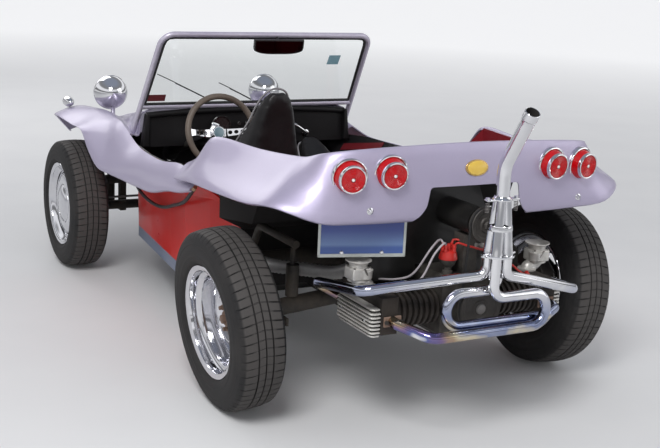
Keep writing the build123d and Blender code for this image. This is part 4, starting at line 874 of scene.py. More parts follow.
SIGNAL_AT = (600, 2440, 778)
SIGNAL_BODY = (
    (-58, 0), (-56.5, 7), (-51, 13.5), (-40, 20), (-22, 25), (0, 27.6), (8, 28), (16, 27.5), (19, 26), (19, 24.5),
)
SIGNAL_GLASS = ((18, 24.5), (23, 22), (26.5, 14), (28, 0))
SIGNAL_STEM = ((0, 0), (0, 14), (4, 14), (8, 8), (30, 7.5), (30, 0))
signals = []
for side in (-1, 1):
    x, y, z = SIGNAL_AT
    centre = at_mm(side * x, y, z)
    signals += [
        turned_piece("bullet", SIGNAL_BODY, centre, FORWARDS, 48, chrome, MM),
        turned_piece("bullet_glass", SIGNAL_GLASS, centre, FORWARDS, 48, amber_glass, MM),
        turned_piece("stem", SIGNAL_STEM, at_mm(side * x, y - 8, 731), UPWARDS, 24, chrome, MM),
    ]
place_it(merge("turn_signal_pair", *signals), "turn_signals")

# Tail lamps: on each side two deep red glasses in chromed bases on the rear body. A chromed ring
# holds each glass, which has moulded rings and a small clear eye in the middle.
red_glass, tree, shader = new_material("red_glass")
red_noise = fed(tree, "ShaderNodeTexNoise", "Fac", Vector=fed(tree, "ShaderNodeTexCoord", "Object"), Scale=30.0,
                Detail=3.0)
shade(
    tree, shader, Base_Color=ramp_of(tree, red_noise, (0.42, 0.0, 0.003), (0.56, 0.002, 0.005)), Roughness=0.25,
    Specular_IOR_Level=0.3, Coat_Weight=0.5, Coat_Roughness=0.04, Subsurface_Weight=0.15, Subsurface_Scale=0.02,
)
eye_glass = finish_of("eye_glass", ((0.85, 0.80, 0.78), (0.95, 0.92, 0.9)), (0.1, 0.2), coat=1.0)
# place on the right side, and the way the lamp faces
TAIL_LAMPS = (((331, -440, 927), (0.10, -0.99, -0.10)), ((476, -425, 918), (0.18, -0.98, -0.07)))
LAMP_BASE = ((-26, 55), (-24, 60), (-14, 62), (0, 62.8), (7, 62.6), (10.5, 61), (12, 58), (11, 55.5), (4, 55))
LAMP_GLASS = ((4, 55.5), (12, 53), (24, 49.5), (35, 46.2))
LAMP_TRIM = ((32, 45.8), (33, 47.0), (41, 47.2), (44.4, 46), (45.4, 43.4), (44.4, 41.2), (41, 40.5))
MOULDED_RINGS = [(42.0 + 0.7 * math.cos(k * math.pi) + 0.12 * k, 33 - 2.6 * k) for k in range(10)]
LAMP_FACE = ((42, 41), (41.6, 40), (41.2, 38.5), (42.6, 37.5), (41.6, 35), *MOULDED_RINGS, (43.4, 7))
LAMP_EYE = ((41.5, 5.5), (44.4, 5), (45.6, 3), (45.8, 0))
rings, lenses = [], []
for (x, y, z), (dx, dy, dz) in TAIL_LAMPS:
    for side in (-1, 1):
        foot, facing = at_mm(side * x, y, z), Vector((side * dx, dy, dz))
        for profile, into, material, steps in (
            (LAMP_BASE, rings, chrome, 72), (LAMP_TRIM, rings, chrome, 72), (LAMP_GLASS, lenses, red_glass, 72),
            (LAMP_FACE, lenses, red_glass, 72), (LAMP_EYE, lenses, eye_glass, 24),
        ):
            into.append(turned_piece("lamp_part", profile, foot, facing, steps, material, MM))
place_it(merge("tail_lamp_chrome", *rings), "tail_lamp_rings")
place_it(merge("tail_lamp_glass", *lenses), "tail_lamp_lenses")


# Tail badge and fixings: a small oval badge in yellow enamel with a gold rim, left blank, sits on the
# tail between the lamps. Lower down on either side a chromed bolt head shows where the moulding is fixed.
def on_tail(x, z):
    """Where a line from behind meets the rear body, and the way its face looks there."""
    _, point, normal, _ = rear_body.ray_cast(at_mm(x, -900, z), Vector((0, 1, 0)))
    return point, normal


badge_yellow = finish_of("badge_enamel", ((0.70, 0.42, 0.05), (0.82, 0.58, 0.10)), (0.15, 0.3), coat=0.8)
badge_gold = finish_of("badge_gold", ((0.62, 0.40, 0.12), (0.75, 0.52, 0.20)), (0.2, 0.35), metal=1.0)
BADGE_Z, BADGE_SUNK = 932, 0.001
BADGE_PLAN = [(46 * math.cos(math.tau * i / 40), 28 * math.sin(math.tau * i / 40)) for i in range(40)]
sunk = Vector((0, BADGE_SUNK, 0))
badge_parts = []
for grow, depth, material in ((1.0, 0.0035, badge_gold), (0.84, 0.0050, badge_yellow)):
    badge = flat_outline([on_tail(x * grow, BADGE_Z + z * grow)[0] + sunk for x, z in BADGE_PLAN])
    swept(badge, (0, -depth - BADGE_SUNK, 0))
    bevelled(badge, 0.0012, 3, 50)
    soften(badge)
    badge_parts.append(painted(badge, material))
place_it(merge("tail_badge", *badge_parts))

TAIL_BOLT = ((-2, 0), (-2, 12), (1, 12), (3, 7.5), (8, 7), (9.5, 5), (9.5, 0))
for name, x, z in (("tail_bolt_left", -405, 804), ("tail_bolt_right", 467, 799)):
    place_it(turned_piece(name, TAIL_BOLT, *on_tail(x, z), 24, chrome, MM))


# Steering wheel: a thick foam-covered rim on three drilled spokes of chromed steel, with a chromed
# boss and a blank enamelled cap. The cover is grey-brown and slightly shiny where hands hold it.
HUB, COLUMN_FOOT = at_mm(-310, 1030, 830), at_mm(-310, 1700, 620)
column_way = (COLUMN_FOOT - HUB).normalized()
wheel_right = Vector((1, 0, 0))
wheel_up = wheel_right.cross(column_way)
WHEEL_RING, DISH = 0.156, 0.048
RING_POINTS, RING_PULL = 24, 1.009         # the smooth line lies this much inside its points
SPOKE_HOLES = (0.058, 0.082, 0.106)
grip = finish_of("grip_foam", ((0.085, 0.062, 0.048), (0.16, 0.125, 0.10)), (0.4, 0.6), grain=0.25, grain_scale=500)
cap_blue = finish_of("cap_enamel", ((0.10, 0.16, 0.20), (0.20, 0.29, 0.33)), (0.15, 0.3), coat=0.6)


def on_wheel(turn):
    """The way from the hub to the rim, at a turn from the wheel's right."""
    return wheel_right * math.cos(turn) + wheel_up * math.sin(turn)


def spoke_half_width(r):
    """A spoke narrows away from the hub and flares again at the rim."""
    return 0.017 - 0.004 * min(max((r - 0.03) / 0.08, 0), 1) + 0.008 * max((r - 0.13) / 0.03, 0)


def spoke_sunk(r):
    """How far a spoke lies below the rim's plane at a radius."""
    share = min(max((r - 0.034) / 0.112, 0), 1)
    return DISH * (1 - share ** 2 * (3 - 2 * share))


ring_line = [HUB + on_wheel(2 * math.pi * k / RING_POINTS) * WHEEL_RING * RING_PULL for k in range(RING_POINTS)]
ring = round_bar("grip_ring", ring_line, 0.0134, grip, order=4, sides=8, cyclic=True)
spokes = []
for turn in (0.0, math.pi, -math.pi / 2):
    along = on_wheel(turn)
    across = column_way.cross(along)
    rows = []
    for r in (reach * MM for reach in range(10, 157, 4)):
        middle = HUB + along * r + column_way * spoke_sunk(r)
        rows.append([middle + across * spoke_half_width(r) * s for s in (-1, -0.5, 0, 0.5, 1)])
    spoke = laid_grid("spoke", rows)
    face_outwards(spoke)
    thicken(spoke, 0.0028, smooth=False, offset=0.0)
    for hole in SPOKE_HOLES:
        select_only()
        bpy.ops.mesh.primitive_cylinder_add(vertices=32, radius=0.0088 - (hole - 0.06) * 0.02, depth=0.16)
        drill = bpy.context.object
        turned = column_way.to_track_quat("Z", "Y").to_matrix()
        for vertex in drill.data.vertices:
            vertex.co = HUB + along * hole + turned @ vertex.co
        cut_with(spoke, drill)
    soften(spoke, 30)
    spokes.append(painted(spoke, chrome))
BOSS = ((-18, 0), (-18, 26), (-15, 29.5), (-4, 32), (4, 34), (10, 36), (16, 34), (34, 26), (34, 0))
BOSS_CAP = ((-21.5, 0), (-21.5, 18), (-20, 23.5), (-16, 24.5))
SHAFT = ((75, 0), (75, 11), (120, 11), (120, 0))
boss_at = HUB + column_way * DISH
wheel_turned = [
    turned_piece("boss", BOSS, boss_at, column_way, 48, chrome, MM),
    turned_piece("boss_cap", BOSS_CAP, boss_at, column_way, 48, cap_blue, MM),
    turned_piece("wheel_shaft", SHAFT, HUB, column_way, 24, steel_dark, MM),
]
place_it(merge("drilled_wheel", ring, *spokes, *wheel_turned), "steering_wheel", "steering_wheel")

# Steering column: a chromed sleeve from the dash, the shaft and its joint, and the box on the beam.
# A chromed switch housing with a black-tipped stalk is clamped on the sleeve.
steel_black = finish_of("steel_black", ((0.012, 0.012, 0.012), (0.05, 0.045, 0.04)), (0.45, 0.75), grain=0.3,
                        grain_scale=200)
dress(steel_black, "steering_column", "pitman_arm")
COLLAR = ((0, 20.5), (0, 27), (4, 29), (52, 29), (56, 27), (56, 20.5))
SLEEVE = ((58, 20.3), (58, 21.2), (250, 21.2), (250, 20.3))
STALK_TIP = ((0, 0), (0, 5), (20, 6.2), (24, 4), (25, 0))
SWITCH_BOX = ((0, 0), (0, 16), (4, 19), (30, 19), (34, 16), (34, 0))
collar_at = HUB + column_way * 0.115
stalk_line = [
    collar_at + column_way * 0.02 + Vector((-0.02, 0, 0)), collar_at + Vector((-0.06, 0, 0.004)),
    collar_at + Vector((-0.10, -0.014, 0.010)),
]
tip_at, box_at = collar_at + Vector((-0.098, -0.0135, 0.0098)), collar_at + Vector((0.012, 0.01, 0.018))
switch = merge(
    "column_switch",
    turned_piece("collar", COLLAR, collar_at, column_way, 40, chrome, MM),
    turned_piece("sleeve_chrome", SLEEVE, HUB + column_way * 0.11, column_way, 40, chrome, MM),
    round_bar("stalk", stalk_line, 0.0032, chrome),
    turned_piece("stalk_tip", STALK_TIP, tip_at, (-1, -0.3, 0.15), 20, gloss_black, MM),
    turned_piece("switch_box", SWITCH_BOX, box_at, (0.25, -0.2, 1), 32, chrome, MM),
)
place_it(switch)

# Column gaiter: a moulded rubber boot that narrows in steps, pushed over the column and pressed
# against the toe board, where it closes the hole round the shaft.
GAITER = (
    (0, 21.5), (0, 45), (3, 46), (6, 40), (12, 38), (15, 33), (20, 32), (23, 27), (29, 26), (32, 22.5), (32, 21),
)
COLUMN_SLOPE = 210 / 670
gaiter = turned_piece("column_gaiter", GAITER, at_mm(-310, 1658.5, 632.5), (0, -1, 0), 40, seal_black, MM)
for vertex in gaiter.data.vertices:
    vertex.co.z += (at_mm(0, 1660, 0).y - vertex.co.y) * COLUMN_SLOPE
place_it(gaiter)

# Front suspension: two cross tubes with their towers, trailing arms, dampers and king-pin carriers,
# in black paint with road dirt. The stub axles and steering arms are forged and oily.
dirty_black = finish_of("dirty_black", ((0.012, 0.011, 0.010), (0.085, 0.07, 0.055)), (0.55, 0.9), grain=0.4,
                        grain_scale=160, broad=9)
bare_steel = finish_of("bare_steel", ((0.20, 0.19, 0.18), (0.34, 0.32, 0.30)), (0.35, 0.6), metal=0.8, grain=0.15)
dress(dirty_black, "front_beam", "front_arms")
dress(steel_dark, "knuckle_left", "knuckle_right")
dress(bare_steel, "tie_rod_left", "tie_rod_right")

# Brake pipe: a thin steel pipe, bent by hand, that runs along the lower cross tube from one side to
# the other, with a slight kink in the middle.
HALF_PIPE = ((440, 2170, 285), (300, 2168, 283), (60, 2167, 283))
pipe_points = [*[(-x, y, z) for x, y, z in HALF_PIPE], (0, 2160, 286), *reversed(HALF_PIPE)]
brake_line = round_bar("front_brake_pipe", [at_mm(*p) for p in pipe_points], 0.0025, bare_steel)
place_it(brake_line)


# Rear axle: gearbox and final drive in a cast alloy case, swinging axle tubes with ribbed rubber
# boots, the torsion housing with its spring plates, and dampers. All under grey-brown dust and oil.
cast_dirty = finish_of("cast_dirty", ((0.026, 0.023, 0.021), (0.11, 0.10, 0.088)), (0.5, 0.8), metal=0.45, grain=0.5,
                       grain_scale=170, broad=10)
dress(cast_dirty, "transaxle")
dress(dirty_black, "axle_tubes", "rear_torsion")
CAMBER = math.radians(5.5)
REAR_WHEEL_X, REAR_WHEEL_Z = 706, 332.009
DIFF_Z = REAR_WHEEL_Z + math.tan(CAMBER) * (REAR_WHEEL_X - 110)
boot_profile = [(0, 0.063)]
for k in range(7):
    boot_profile += [(0.006 + 0.013 * k, 0.069 - 0.0035 * k), (0.0125 + 0.013 * k, 0.0635 - 0.0035 * k)]
boot_profile += [(0.105, 0.040), (0.118, 0.038), (0.118, 0.0325)]
boots = []
for side in (-1, 1):
    away = Vector((side * math.cos(CAMBER), 0, -math.sin(CAMBER)))
    foot = at_mm(side * 113, 0, DIFF_Z - 0.3)
    boots.append(turned_piece("axle_boot", boot_profile, foot, away, 40, seal_black))
    for a, r in ((0.004, 0.0705), (0.111, 0.0395)):
        clip = [(a - 0.003, r - 0.002), (a - 0.003, r), (a + 0.003, r), (a + 0.003, r - 0.002)]
        boots.append(turned_piece("boot_clip", clip, foot, away, 40, bare_steel))
place_it(merge("axle_boots", *boots))


# Heater hose: a pale ribbed duct in aluminium foil over wire. It is pushed on the torsion housing's
# end and runs to the fan housing.
def directed(line):
    """The points of a line, each with the direction the line takes there."""
    last = len(line) - 1
    for k, point in enumerate(line):
        way = (line[min(k + 1, last)] - line[max(k - 1, 0)]).normalized()
        yield point, way


def ring_round(point, flat, upright, reach, steps):
    """A closed ring of points round a middle, the first one repeated at the end."""
    turns = [2 * math.pi * k / steps for k in range(steps + 1)]
    return [point + (flat * math.cos(turn) + upright * math.sin(turn)) * reach for turn in turns]


duct_foil = finish_of("duct_foil", ((0.42, 0.41, 0.40), (0.66, 0.65, 0.63)), (0.35, 0.6), metal=0.5, grain=0.2)
DUCT_POINTS = (
    (-452, 262, 446), (-430, 190, 450), (-350, 90, 455), (-285, 0, 462), (-262, -90, 500), (-258, -173, 560),
)
duct_rows = []
for k, (point, way) in enumerate(directed(smooth_line([at_mm(*p) for p in DUCT_POINTS], 14))):
    flat = way.cross(Vector((0, 0, 1))).normalized()
    duct_rows.append(ring_round(point, flat, way.cross(flat), 0.0225 if k % 2 else 0.0255, 20))
duct = laid_grid("heater_duct", duct_rows)
face_outwards(duct)
thicken(duct, 0.001, smooth=False)
soften(duct, 60)
place_it(duct, material=duct_foil)


# Engine: an air-cooled flat four. The crankcase is cast alloy, the cylinders are finned iron and the
# heads alloy, all grey-brown with oil and dust. The fan housing and generator are black enamel.
iron_dirty = finish_of("iron_dirty", ((0.012, 0.010, 0.009), (0.052, 0.042, 0.035)), (0.6, 0.85), metal=0.3, grain=0.4,
                       grain_scale=200, broad=12)
tin_black = finish_of("tin_black", ((0.006, 0.006, 0.006), (0.022, 0.020, 0.018)), (0.3, 0.6), grain=0.15, coat=0.2)
alloy_bright = finish_of("alloy_bright", ((0.50, 0.48, 0.45), (0.74, 0.72, 0.68)), (0.3, 0.5), metal=0.45, grain=0.15,
                         broad=12)
belt_rubber = finish_of("belt_rubber", ((0.012, 0.012, 0.012), (0.03, 0.03, 0.03)), (0.6, 0.8))
rust = finish_of("rusted_iron", ((0.10, 0.05, 0.032), (0.30, 0.21, 0.16)), (0.65, 0.9), grain=0.8, grain_scale=140,
                 broad=12, fine=90)
dress(cast_dirty, "crankcase")
dress(iron_dirty, "cylinder_banks")
dress(tin_black, "fan_shroud", "generator")


# Rocker covers: cast alloy with eight polished ribs round a dark core, held by two cap screws.
# Each is a rounded box with its ribs cast on, as long as the head it closes.
def block_at(name, side, near, far, rounding, material=None):
    """A box between two corners in millimetres, on the left or the right."""
    x = sorted((side * near[0], side * far[0]))
    return blocky(name, at_mm(x[0], *near[1:]), at_mm(x[1], *far[1:]), rounding, material)


COVER_LOW, COVER_HIGH = (362.6, -486, 374), (400, -238, 474)
RIB_COUNT, RIB_HALF, RIB_CORNER = 8, 3.1, 0.016
COVER_SCREW = ((0, 0), (0, 9), (7, 9), (8.5, 7), (8.5, 0))
groove_dark = finish_of("groove_dark", ((0.03, 0.027, 0.025), (0.09, 0.08, 0.07)), (0.6, 0.8), metal=0.5, grain=0.3)
covers = []
for side in (-1, 1):
    (x0, y0, z0), (x1, y1, z1) = COVER_LOW, COVER_HIGH
    covers.append(block_at("cover_core", side, (x0, y0 + 8, z0 + 5), (x1 - 9, y1 - 8, z1 - 5), 0.008, groove_dark))
    for k in range(RIB_COUNT):
        z = z0 + 4 + k * (z1 - z0 - 8) / (RIB_COUNT - 1)
        shrink = 6 if k in (0, RIB_COUNT - 1) else 0
        rib_low, rib_high = (x0, y0 + shrink, z - RIB_HALF), (x1 - shrink, y1 - shrink, z + RIB_HALF)
        rib = block_at("cover_rib", side, rib_low, rib_high, 0.0)
        with edited(rib) as shape:
            outer = max(vertex.co.x * side for vertex in shape.verts)
            rounded_along(shape, 2, 0.003, RIB_CORNER, keep=lambda edge: edge.verts[0].co.x * side > outer - 1e-5)
        bevelled(rib, 0.0014, 2, 50)
        soften(rib)
        covers.append(painted(rib, alloy_bright))
    for y in (-430, -270):
        screw_at = at_mm(side * 391, y, 424)
        covers.append(turned_piece("cover_screw", COVER_SCREW, screw_at, (side, 0, 0), 24, chrome, MM))
place_it(merge("finned_covers", *covers), "rocker_covers")

# Belt drive: pressed steel pulleys on the crankshaft's nose and on the fan's shaft, with a rubber
# V-belt round both.
CRANK_PULLEY = (
    (-12, 20), (-12, 30), (-8, 34), (-8, 64), (-11, 68), (-12, 82), (-10, 84), (-6, 83.5), (-2, 76), (2, 76),
    (6, 83.5), (10, 84), (12, 82), (10, 68), (4, 64), (4, 20),
)
FAN_PULLEY = (
    (-12, 14), (-12, 24), (-7, 28), (-7, 44), (-11, 48), (-12, 60), (-10, 62), (-6, 61.5), (-2, 55), (2, 55),
    (6, 61.5), (10, 62), (12, 60), (10, 46), (6, 14),
)
CRANK_NOSE = ((-16, 0), (-16, 16), (-12, 19), (55, 19.5), (55, 0))
FAN_NUT = ((-21, 0), (-21, 13), (-12, 15), (12, 15), (12, 0))
CRANK_GRIP, FAN_GRIP = 0.0795, 0.0585      # the radii at which the belt runs
BELT_SECTION = ((-3.2, -2.4), (3, -3.8), (4, -3.6), (4, 3.6), (3, 3.8), (-3.2, 2.4), (-3.2, -2.4))
BELT_STEPS = 48
crank_at, fan_at = at_mm(0, -535, 454), at_mm(0, -535, 750)
belt_lean = math.asin((CRANK_GRIP - FAN_GRIP) / (fan_at - crank_at).length)
belt_line = []
for middle, reach, start, sweep in (
    (crank_at, CRANK_GRIP, belt_lean - math.pi, math.pi + 2 * belt_lean),
    (fan_at, FAN_GRIP, belt_lean, math.pi - 2 * belt_lean),
):
    for k in range(BELT_STEPS + 1):
        turn = start + k * sweep / BELT_STEPS
        belt_line.append(middle + Vector((math.cos(turn) * reach, 0, math.sin(turn) * reach)))
belt_rows = []
for k, point in enumerate(belt_line):
    way = (belt_line[(k + 1) % len(belt_line)] - belt_line[k - 1]).normalized()
    out = Vector((way.z, 0, -way.x))
    belt_rows.append([point + out * a * MM + Vector((0, b * MM, 0)) for a, b in BELT_SECTION])
belt = laid_grid("belt", [*belt_rows, belt_rows[0]])
face_outwards(belt)
soften(belt)
drive = merge(
    "pulleys_and_belt",
    turned_piece("crank_pulley", CRANK_PULLEY, crank_at, FORWARDS, 64, steel_dark, MM),
    turned_piece("crank_nose", CRANK_NOSE, crank_at, FORWARDS, 32, bare_steel, MM),
    turned_piece("fan_pulley", FAN_PULLEY, fan_at, FORWARDS, 56, steel_dark, MM),
    turned_piece("fan_nut", FAN_NUT, fan_at, FORWARDS, 6, bare_steel, MM),
    painted(belt, belt_rubber),
)
place_it(drive, "belt_drive")

# Carburettors: one over each head, in cast alloy, with a float bowl, a linkage lever and an open
# air horn. A thin shaft across the engine works both throttles.
INLET_FLANGE = ((0, 0), (0, 34), (6, 35), (8, 27), (8, 0))
TOP_FLANGE = ((28, 0), (28, 36), (34, 36), (34, 0))
FLOAT_BOWL = ((0, 0), (0, 18), (4, 24), (26, 25), (30, 27), (34, 27), (36, 22), (36, 0))
AIR_HORN = (
    (0, 0), (0, 32), (8, 31), (16, 34), (22, 40), (25, 46), (28, 45.5), (25.5, 39), (19, 32), (12, 25), (4, 22),
    (4, 0),
)
CARB_SCREW = ((0, 0), (0, 4), (4, 4), (5, 0))
carbs = []
for side in (-1, 1):
    foot = at_mm(side * 340, -348, 511.3)
    top = foot + Vector((side * 0.040, 0, 0))
    pipe = [foot, foot + Vector((0, 0, 0.014)), top + Vector((0, 0, 0.020)), top + Vector((0, 0, 0.034))]
    lever_way = ((side * -0.02, -0.036, 0.045), (side * -0.012, -0.042, 0.06), (0, -0.044, 0.079))
    lever = [top + Vector(p) for p in lever_way]
    body_low, body_high = top + Vector((-0.036, -0.034, 0.033)), top + Vector((0.036, 0.034, 0.076))
    bowl_at, horn_at = top + Vector((side * -0.018, -0.018, 0.036)), top + Vector((0, 0, 0.074))
    carbs += [
        turned_piece("inlet_flange", INLET_FLANGE, foot, UPWARDS, 40, alloy_bright, MM),
        round_bar("inlet_pipe", pipe, 0.023, alloy_bright),
        turned_piece("top_flange", TOP_FLANGE, top, UPWARDS, 40, alloy_bright, MM),
        blocky("carb_body", body_low, body_high, 0.006, alloy_bright),
        turned_piece("float_bowl", FLOAT_BOWL, bowl_at, UPWARDS, 32, alloy_bright, MM),
        turned_piece("air_horn", AIR_HORN, horn_at, UPWARDS, 48, alloy_bright, MM),
        round_bar("carb_lever", lever, 0.0035, bare_steel),
    ]
    for dx, dy in ((-30, -28), (30, -28), (30, 28), (-30, 28)):
        screw_at = top + Vector((dx * MM, dy * MM, 0.0755))
        carbs.append(turned_piece("carb_screw", CARB_SCREW, screw_at, UPWARDS, 10, bare_steel, MM))
throttle_line = [at_mm(side * 384, -392, 591) for side in (-1, 1)]
carbs.append(round_bar("throttle_shaft", throttle_line, 0.0045, bare_steel, order=2))
place_it(merge("twin_carburettors", *carbs), "carburettors")

# Ignition: a distributor with a red cap whose plug leads run to the heads, and beside it the oil
# filler with its black cap. Leads are grey on the left and red on the right.
cap_red = finish_of("cap_red", ((0.42, 0.012, 0.010), (0.62, 0.03, 0.02)), (0.25, 0.45), coat=0.3)
lead_grey = finish_of("lead_grey", ((0.36, 0.33, 0.35), (0.52, 0.48, 0.50)), (0.35, 0.5))
lead_red = finish_of("lead_red", ((0.45, 0.02, 0.015), (0.60, 0.04, 0.03)), (0.35, 0.5))
DIST_BODY = ((0, 0), (0, 18), (12, 18), (14, 13), (24, 14), (34, 24), (50, 31), (54, 32), (54, 0))
DIST_CAP = ((53, 0), (53, 33), (56, 33.5), (66, 31), (78, 28), (83, 22), (84, 0))
FILL_NECK = ((0, 0), (0, 26), (6, 26), (8, 20), (88, 20), (90, 0))
FILL_CAP = ((86, 0), (86, 27), (90, 29), (104, 29), (109, 26), (111, 18), (111.5, 0))
CAP_TOWER = ((0, 0), (0, 7.5), (14, 6.5), (18, 7.5), (26, 6), (26, 0))
PLUG_BOOT = ((0, 0), (0, 11), (6, 12), (20, 8), (30, 6.8), (30, 0))
dist_foot, fill_foot = at_mm(-78, -440, 560.3), at_mm(36, -450, 560.3)
ignition = [
    turned_piece("dist_body", DIST_BODY, dist_foot, UPWARDS, 40, cast_dirty, MM),
    turned_piece("dist_cap", DIST_CAP, dist_foot, UPWARDS, 40, cap_red, MM),
    turned_piece("fill_neck", FILL_NECK, fill_foot, UPWARDS, 40, tin_black, MM),
    turned_piece("fill_cap", FILL_CAP, fill_foot, UPWARDS, 40, bare_steel, MM),
]
TOWER_TURNS = [0.5 + k * math.pi / 2 for k in range(4)]
towers = [Vector((math.cos(turn), math.sin(turn), 0)) * 0.021 for turn in TOWER_TURNS]
for away in (*towers, Vector((0, 0, 0))):
    tower_at = dist_foot + away + Vector((0, 0, 0.080))
    ignition.append(turned_piece("tower", CAP_TOWER, tower_at, UPWARDS, 16, cap_red, MM))
place_it(merge("distributor_and_filler", *ignition), "ignition")
leads = []
for tower, lead, path in (
    (2, lead_grey, ((-150, -462, 640), (-196, -462, 560), (-230, -440, 530), (-262, -424, 520), (-296, -418, 512))),
    (1, lead_grey, ((-150, -440, 655), (-205, -415, 560), (-240, -360, 532), (-270, -300, 520), (-298, -282, 512))),
    (0, lead_red, ((-10, -445, 668), (90, -400, 640), (200, -420, 570), (262, -424, 524), (298, -418, 512))),
    (3, lead_red, ((-30, -480, 665), (60, -485, 640), (190, -400, 610), (262, -300, 530), (298, -282, 512))),
):
    top = dist_foot + towers[tower] + Vector((0, 0, 0.102))
    points = [top, top + towers[tower] * 12 / 21 + Vector((0, 0, 0.012)), *[at_mm(*p) for p in path]]
    leads.append(round_bar("lead", smooth_line(points, 4), 0.0038, lead))
    end = points[-1]
    tilt = (math.copysign(0.5, -end.x), 0, 1)
    leads.append(turned_piece("plug_boot", PLUG_BOOT, end + Vector((0, 0, -0.012)), tilt, 20, lead, MM))
place_it(merge("plug_leads", *leads))

# Fuel hose and coil: a black hose from the gearbox side to the left carburettor, and a dark coil on
# the fan housing's back.
COIL = ((0, 0), (0, 27), (4, 28), (96, 28), (100, 25), (104, 14), (118, 10), (118, 0))
FUEL_LINE = ((-120, -200, 552), (-180, -150, 520), (-250, -155, 590), (-330, -250, 600), (-372, -316, 572))
coil = turned_piece("ignition_coil", COIL, at_mm(158, -334, 600), UPWARDS, 32, steel_dark, MM)
coil_strap = blocky("coil_strap", at_mm(126, -334, 640), at_mm(190, -304, 658), 0.002, bare_steel)
place_it(merge("coil", coil, coil_strap))
fuel_hose = round_bar("fuel_hose", smooth_line([at_mm(*p) for p in FUEL_LINE], 5), 0.006, hose_rubber)
place_it(fuel_hose)


# Exhaust: four chromed header pipes that have turned straw, brown and blue where they run hot. They
# rise into a collector of four tapered tubes between eared flanges, sprung on by tie rods.
chrome_hot, tree, shader = new_material("chrome_hot")
pipe_place = fed(tree, "ShaderNodeTexCoord", "Object")
split = tree.nodes.new("ShaderNodeSeparateXYZ")
tree.links.new(pipe_place, split.inputs[0])
waver = fed(tree, "ShaderNodeTexNoise", "Fac", Vector=pipe_place, Scale=9.0, Detail=2.0)
low_down = fed(tree, "ShaderNodeMapRange", "Result", Value=split.outputs["Z"], From_Min=0.56, From_Max=0.40,
               To_Max=0.72)
leftward = fed(tree, "ShaderNodeMapRange", "Result", Value=split.outputs["X"], From_Min=-0.08, From_Max=-0.30,
               To_Max=0.32)
near_port = math_of(tree, "ADD", low_down, leftward)
heat = math_of(tree, "ADD", math_of(tree, "MULTIPLY_ADD", waver, 0.7, -0.42), near_port)
BLUE, STRAW, BROWN, PURPLE, DEEP_BLUE = (
    (0.26, 0.30, 0.46), (0.72, 0.64, 0.47), (0.46, 0.33, 0.22), (0.24, 0.17, 0.32), (0.13, 0.16, 0.40),
)
heat_tint = ramp_of(
    tree, heat, (0.80, 0.80, 0.82), (1, 1, 1),
    between=((0.55, BLUE), (0.68, STRAW), (0.78, BROWN), (0.86, PURPLE), (0.94, DEEP_BLUE)),
)
shade(tree, shader, Base_Color=heat_tint, Metallic=1.0, Roughness=spread(tree, waver, 0.05, 0.2))


def bent_line(points, bends, per_bend=8):
    """Straight runs joined by arcs of the given radii, in millimetres."""
    corners = [at_mm(*p) for p in points]
    line = [corners[0]]
    for before, corner, after, radius in zip(corners, corners[1:], corners[2:], bends):
        back, on = (before - corner).normalized(), (after - corner).normalized()
        half = back.angle(on) / 2
        reach = radius * MM / math.tan(half)
        middle = corner + (back + on).normalized() * radius * MM / math.sin(half)
        start, end = corner + back * reach - middle, corner + on * reach - middle
        for k in range(per_bend + 1):
            line.append(middle + start.slerp(end, k / per_bend).normalized() * radius * MM)
    return [*line, corners[-1]]


# from the left head's and the right head's front ports, then from the left's and the right's rear ones
HEADERS = (
    (
        ((-330, -202, 420), (-330, -150, 420), (-440, -150, 486), (-440, -480, 542), (-22, -593, 590),
         (-22, -593, 668)),
        (36, 40, 50, 40),
    ),
    (
        ((330, -202, 420), (330, -150, 420), (428, -150, 446), (428, -530, 478), (22, -637, 598), (22, -637, 668)),
        (36, 40, 50, 36),
    ),
    (
        ((-322, -496, 430), (-322, -526, 428), (-252, -637, 404), (205, -637, 404), (205, -637, 521),
         (-22, -637, 521), (-22, -637, 668)),
        (18, 56, 57, 57, 44),
    ),
    (
        ((322, -496, 430), (320, -552, 428), (246, -593, 420), (-176, -593, 420), (-176, -593, 536),
         (22, -593, 536), (22, -593, 668)),
        (30, 44, 57, 57, 44),
    ),
)
headers = [round_bar("header", bent_line(*header), 0.019, order=2, sides=8) for header in HEADERS]
place_it(merge("header_tubes", *headers), "header_pipes", material=chrome_hot)

# Collector and tail pipe: four tapered tubes run together between two eared flanges, which two long
# bolts with springs draw on. Above them one chromed pipe bends back and ends in a rolled, sooty mouth.
COLLECTOR_AT = at_mm(0, -615, 662)
collector = []
for sx, sy in ((-1, 1), (1, 1), (1, -1), (-1, -1)):
    line = []
    for share in (0, 0.15, 0.4, 0.7, 1.0):
        apart = MM * (22 - 11 * share)
        line.append(COLLECTOR_AT + Vector((sx * apart, sy * apart, 0.004 + share * 0.194)))
    tube_rows = []
    for k, point in enumerate(smooth_line(line, 4)):
        tube_rows.append(ring_round(point, Vector((1, 0, 0)), Vector((0, 1, 0)), 0.0205 - 0.0055 * k / 16, 28))
    tapered = laid_grid("collector_tube", tube_rows)
    face_outwards(tapered)
    soften(tapered, 60)
    collector.append(painted(tapered, chrome))
for profile in (
    ((0, 50), (0, 56), (1, 57), (6, 57), (7, 56), (7, 48), (5, 44), (2, 44), (0, 50)),
    ((88, 40), (89, 43), (92, 44), (104, 42), (107, 41), (108, 38), (88, 40)),
    ((186, 25), (188, 30), (191, 34), (195, 34), (198, 30), (204, 26.5), (204, 24.4), (186, 24.4), (186, 25)),
):
    collector.append(turned_piece("collector_ring", profile, COLLECTOR_AT, UPWARDS, 56, chrome, MM))
TIE_OUT = 0.058
EAR_NUT = ((0, 0), (0, 8), (6, 8), (6.5, 0))
SPRING_TURNS, SPRING_STEPS = 7, 60
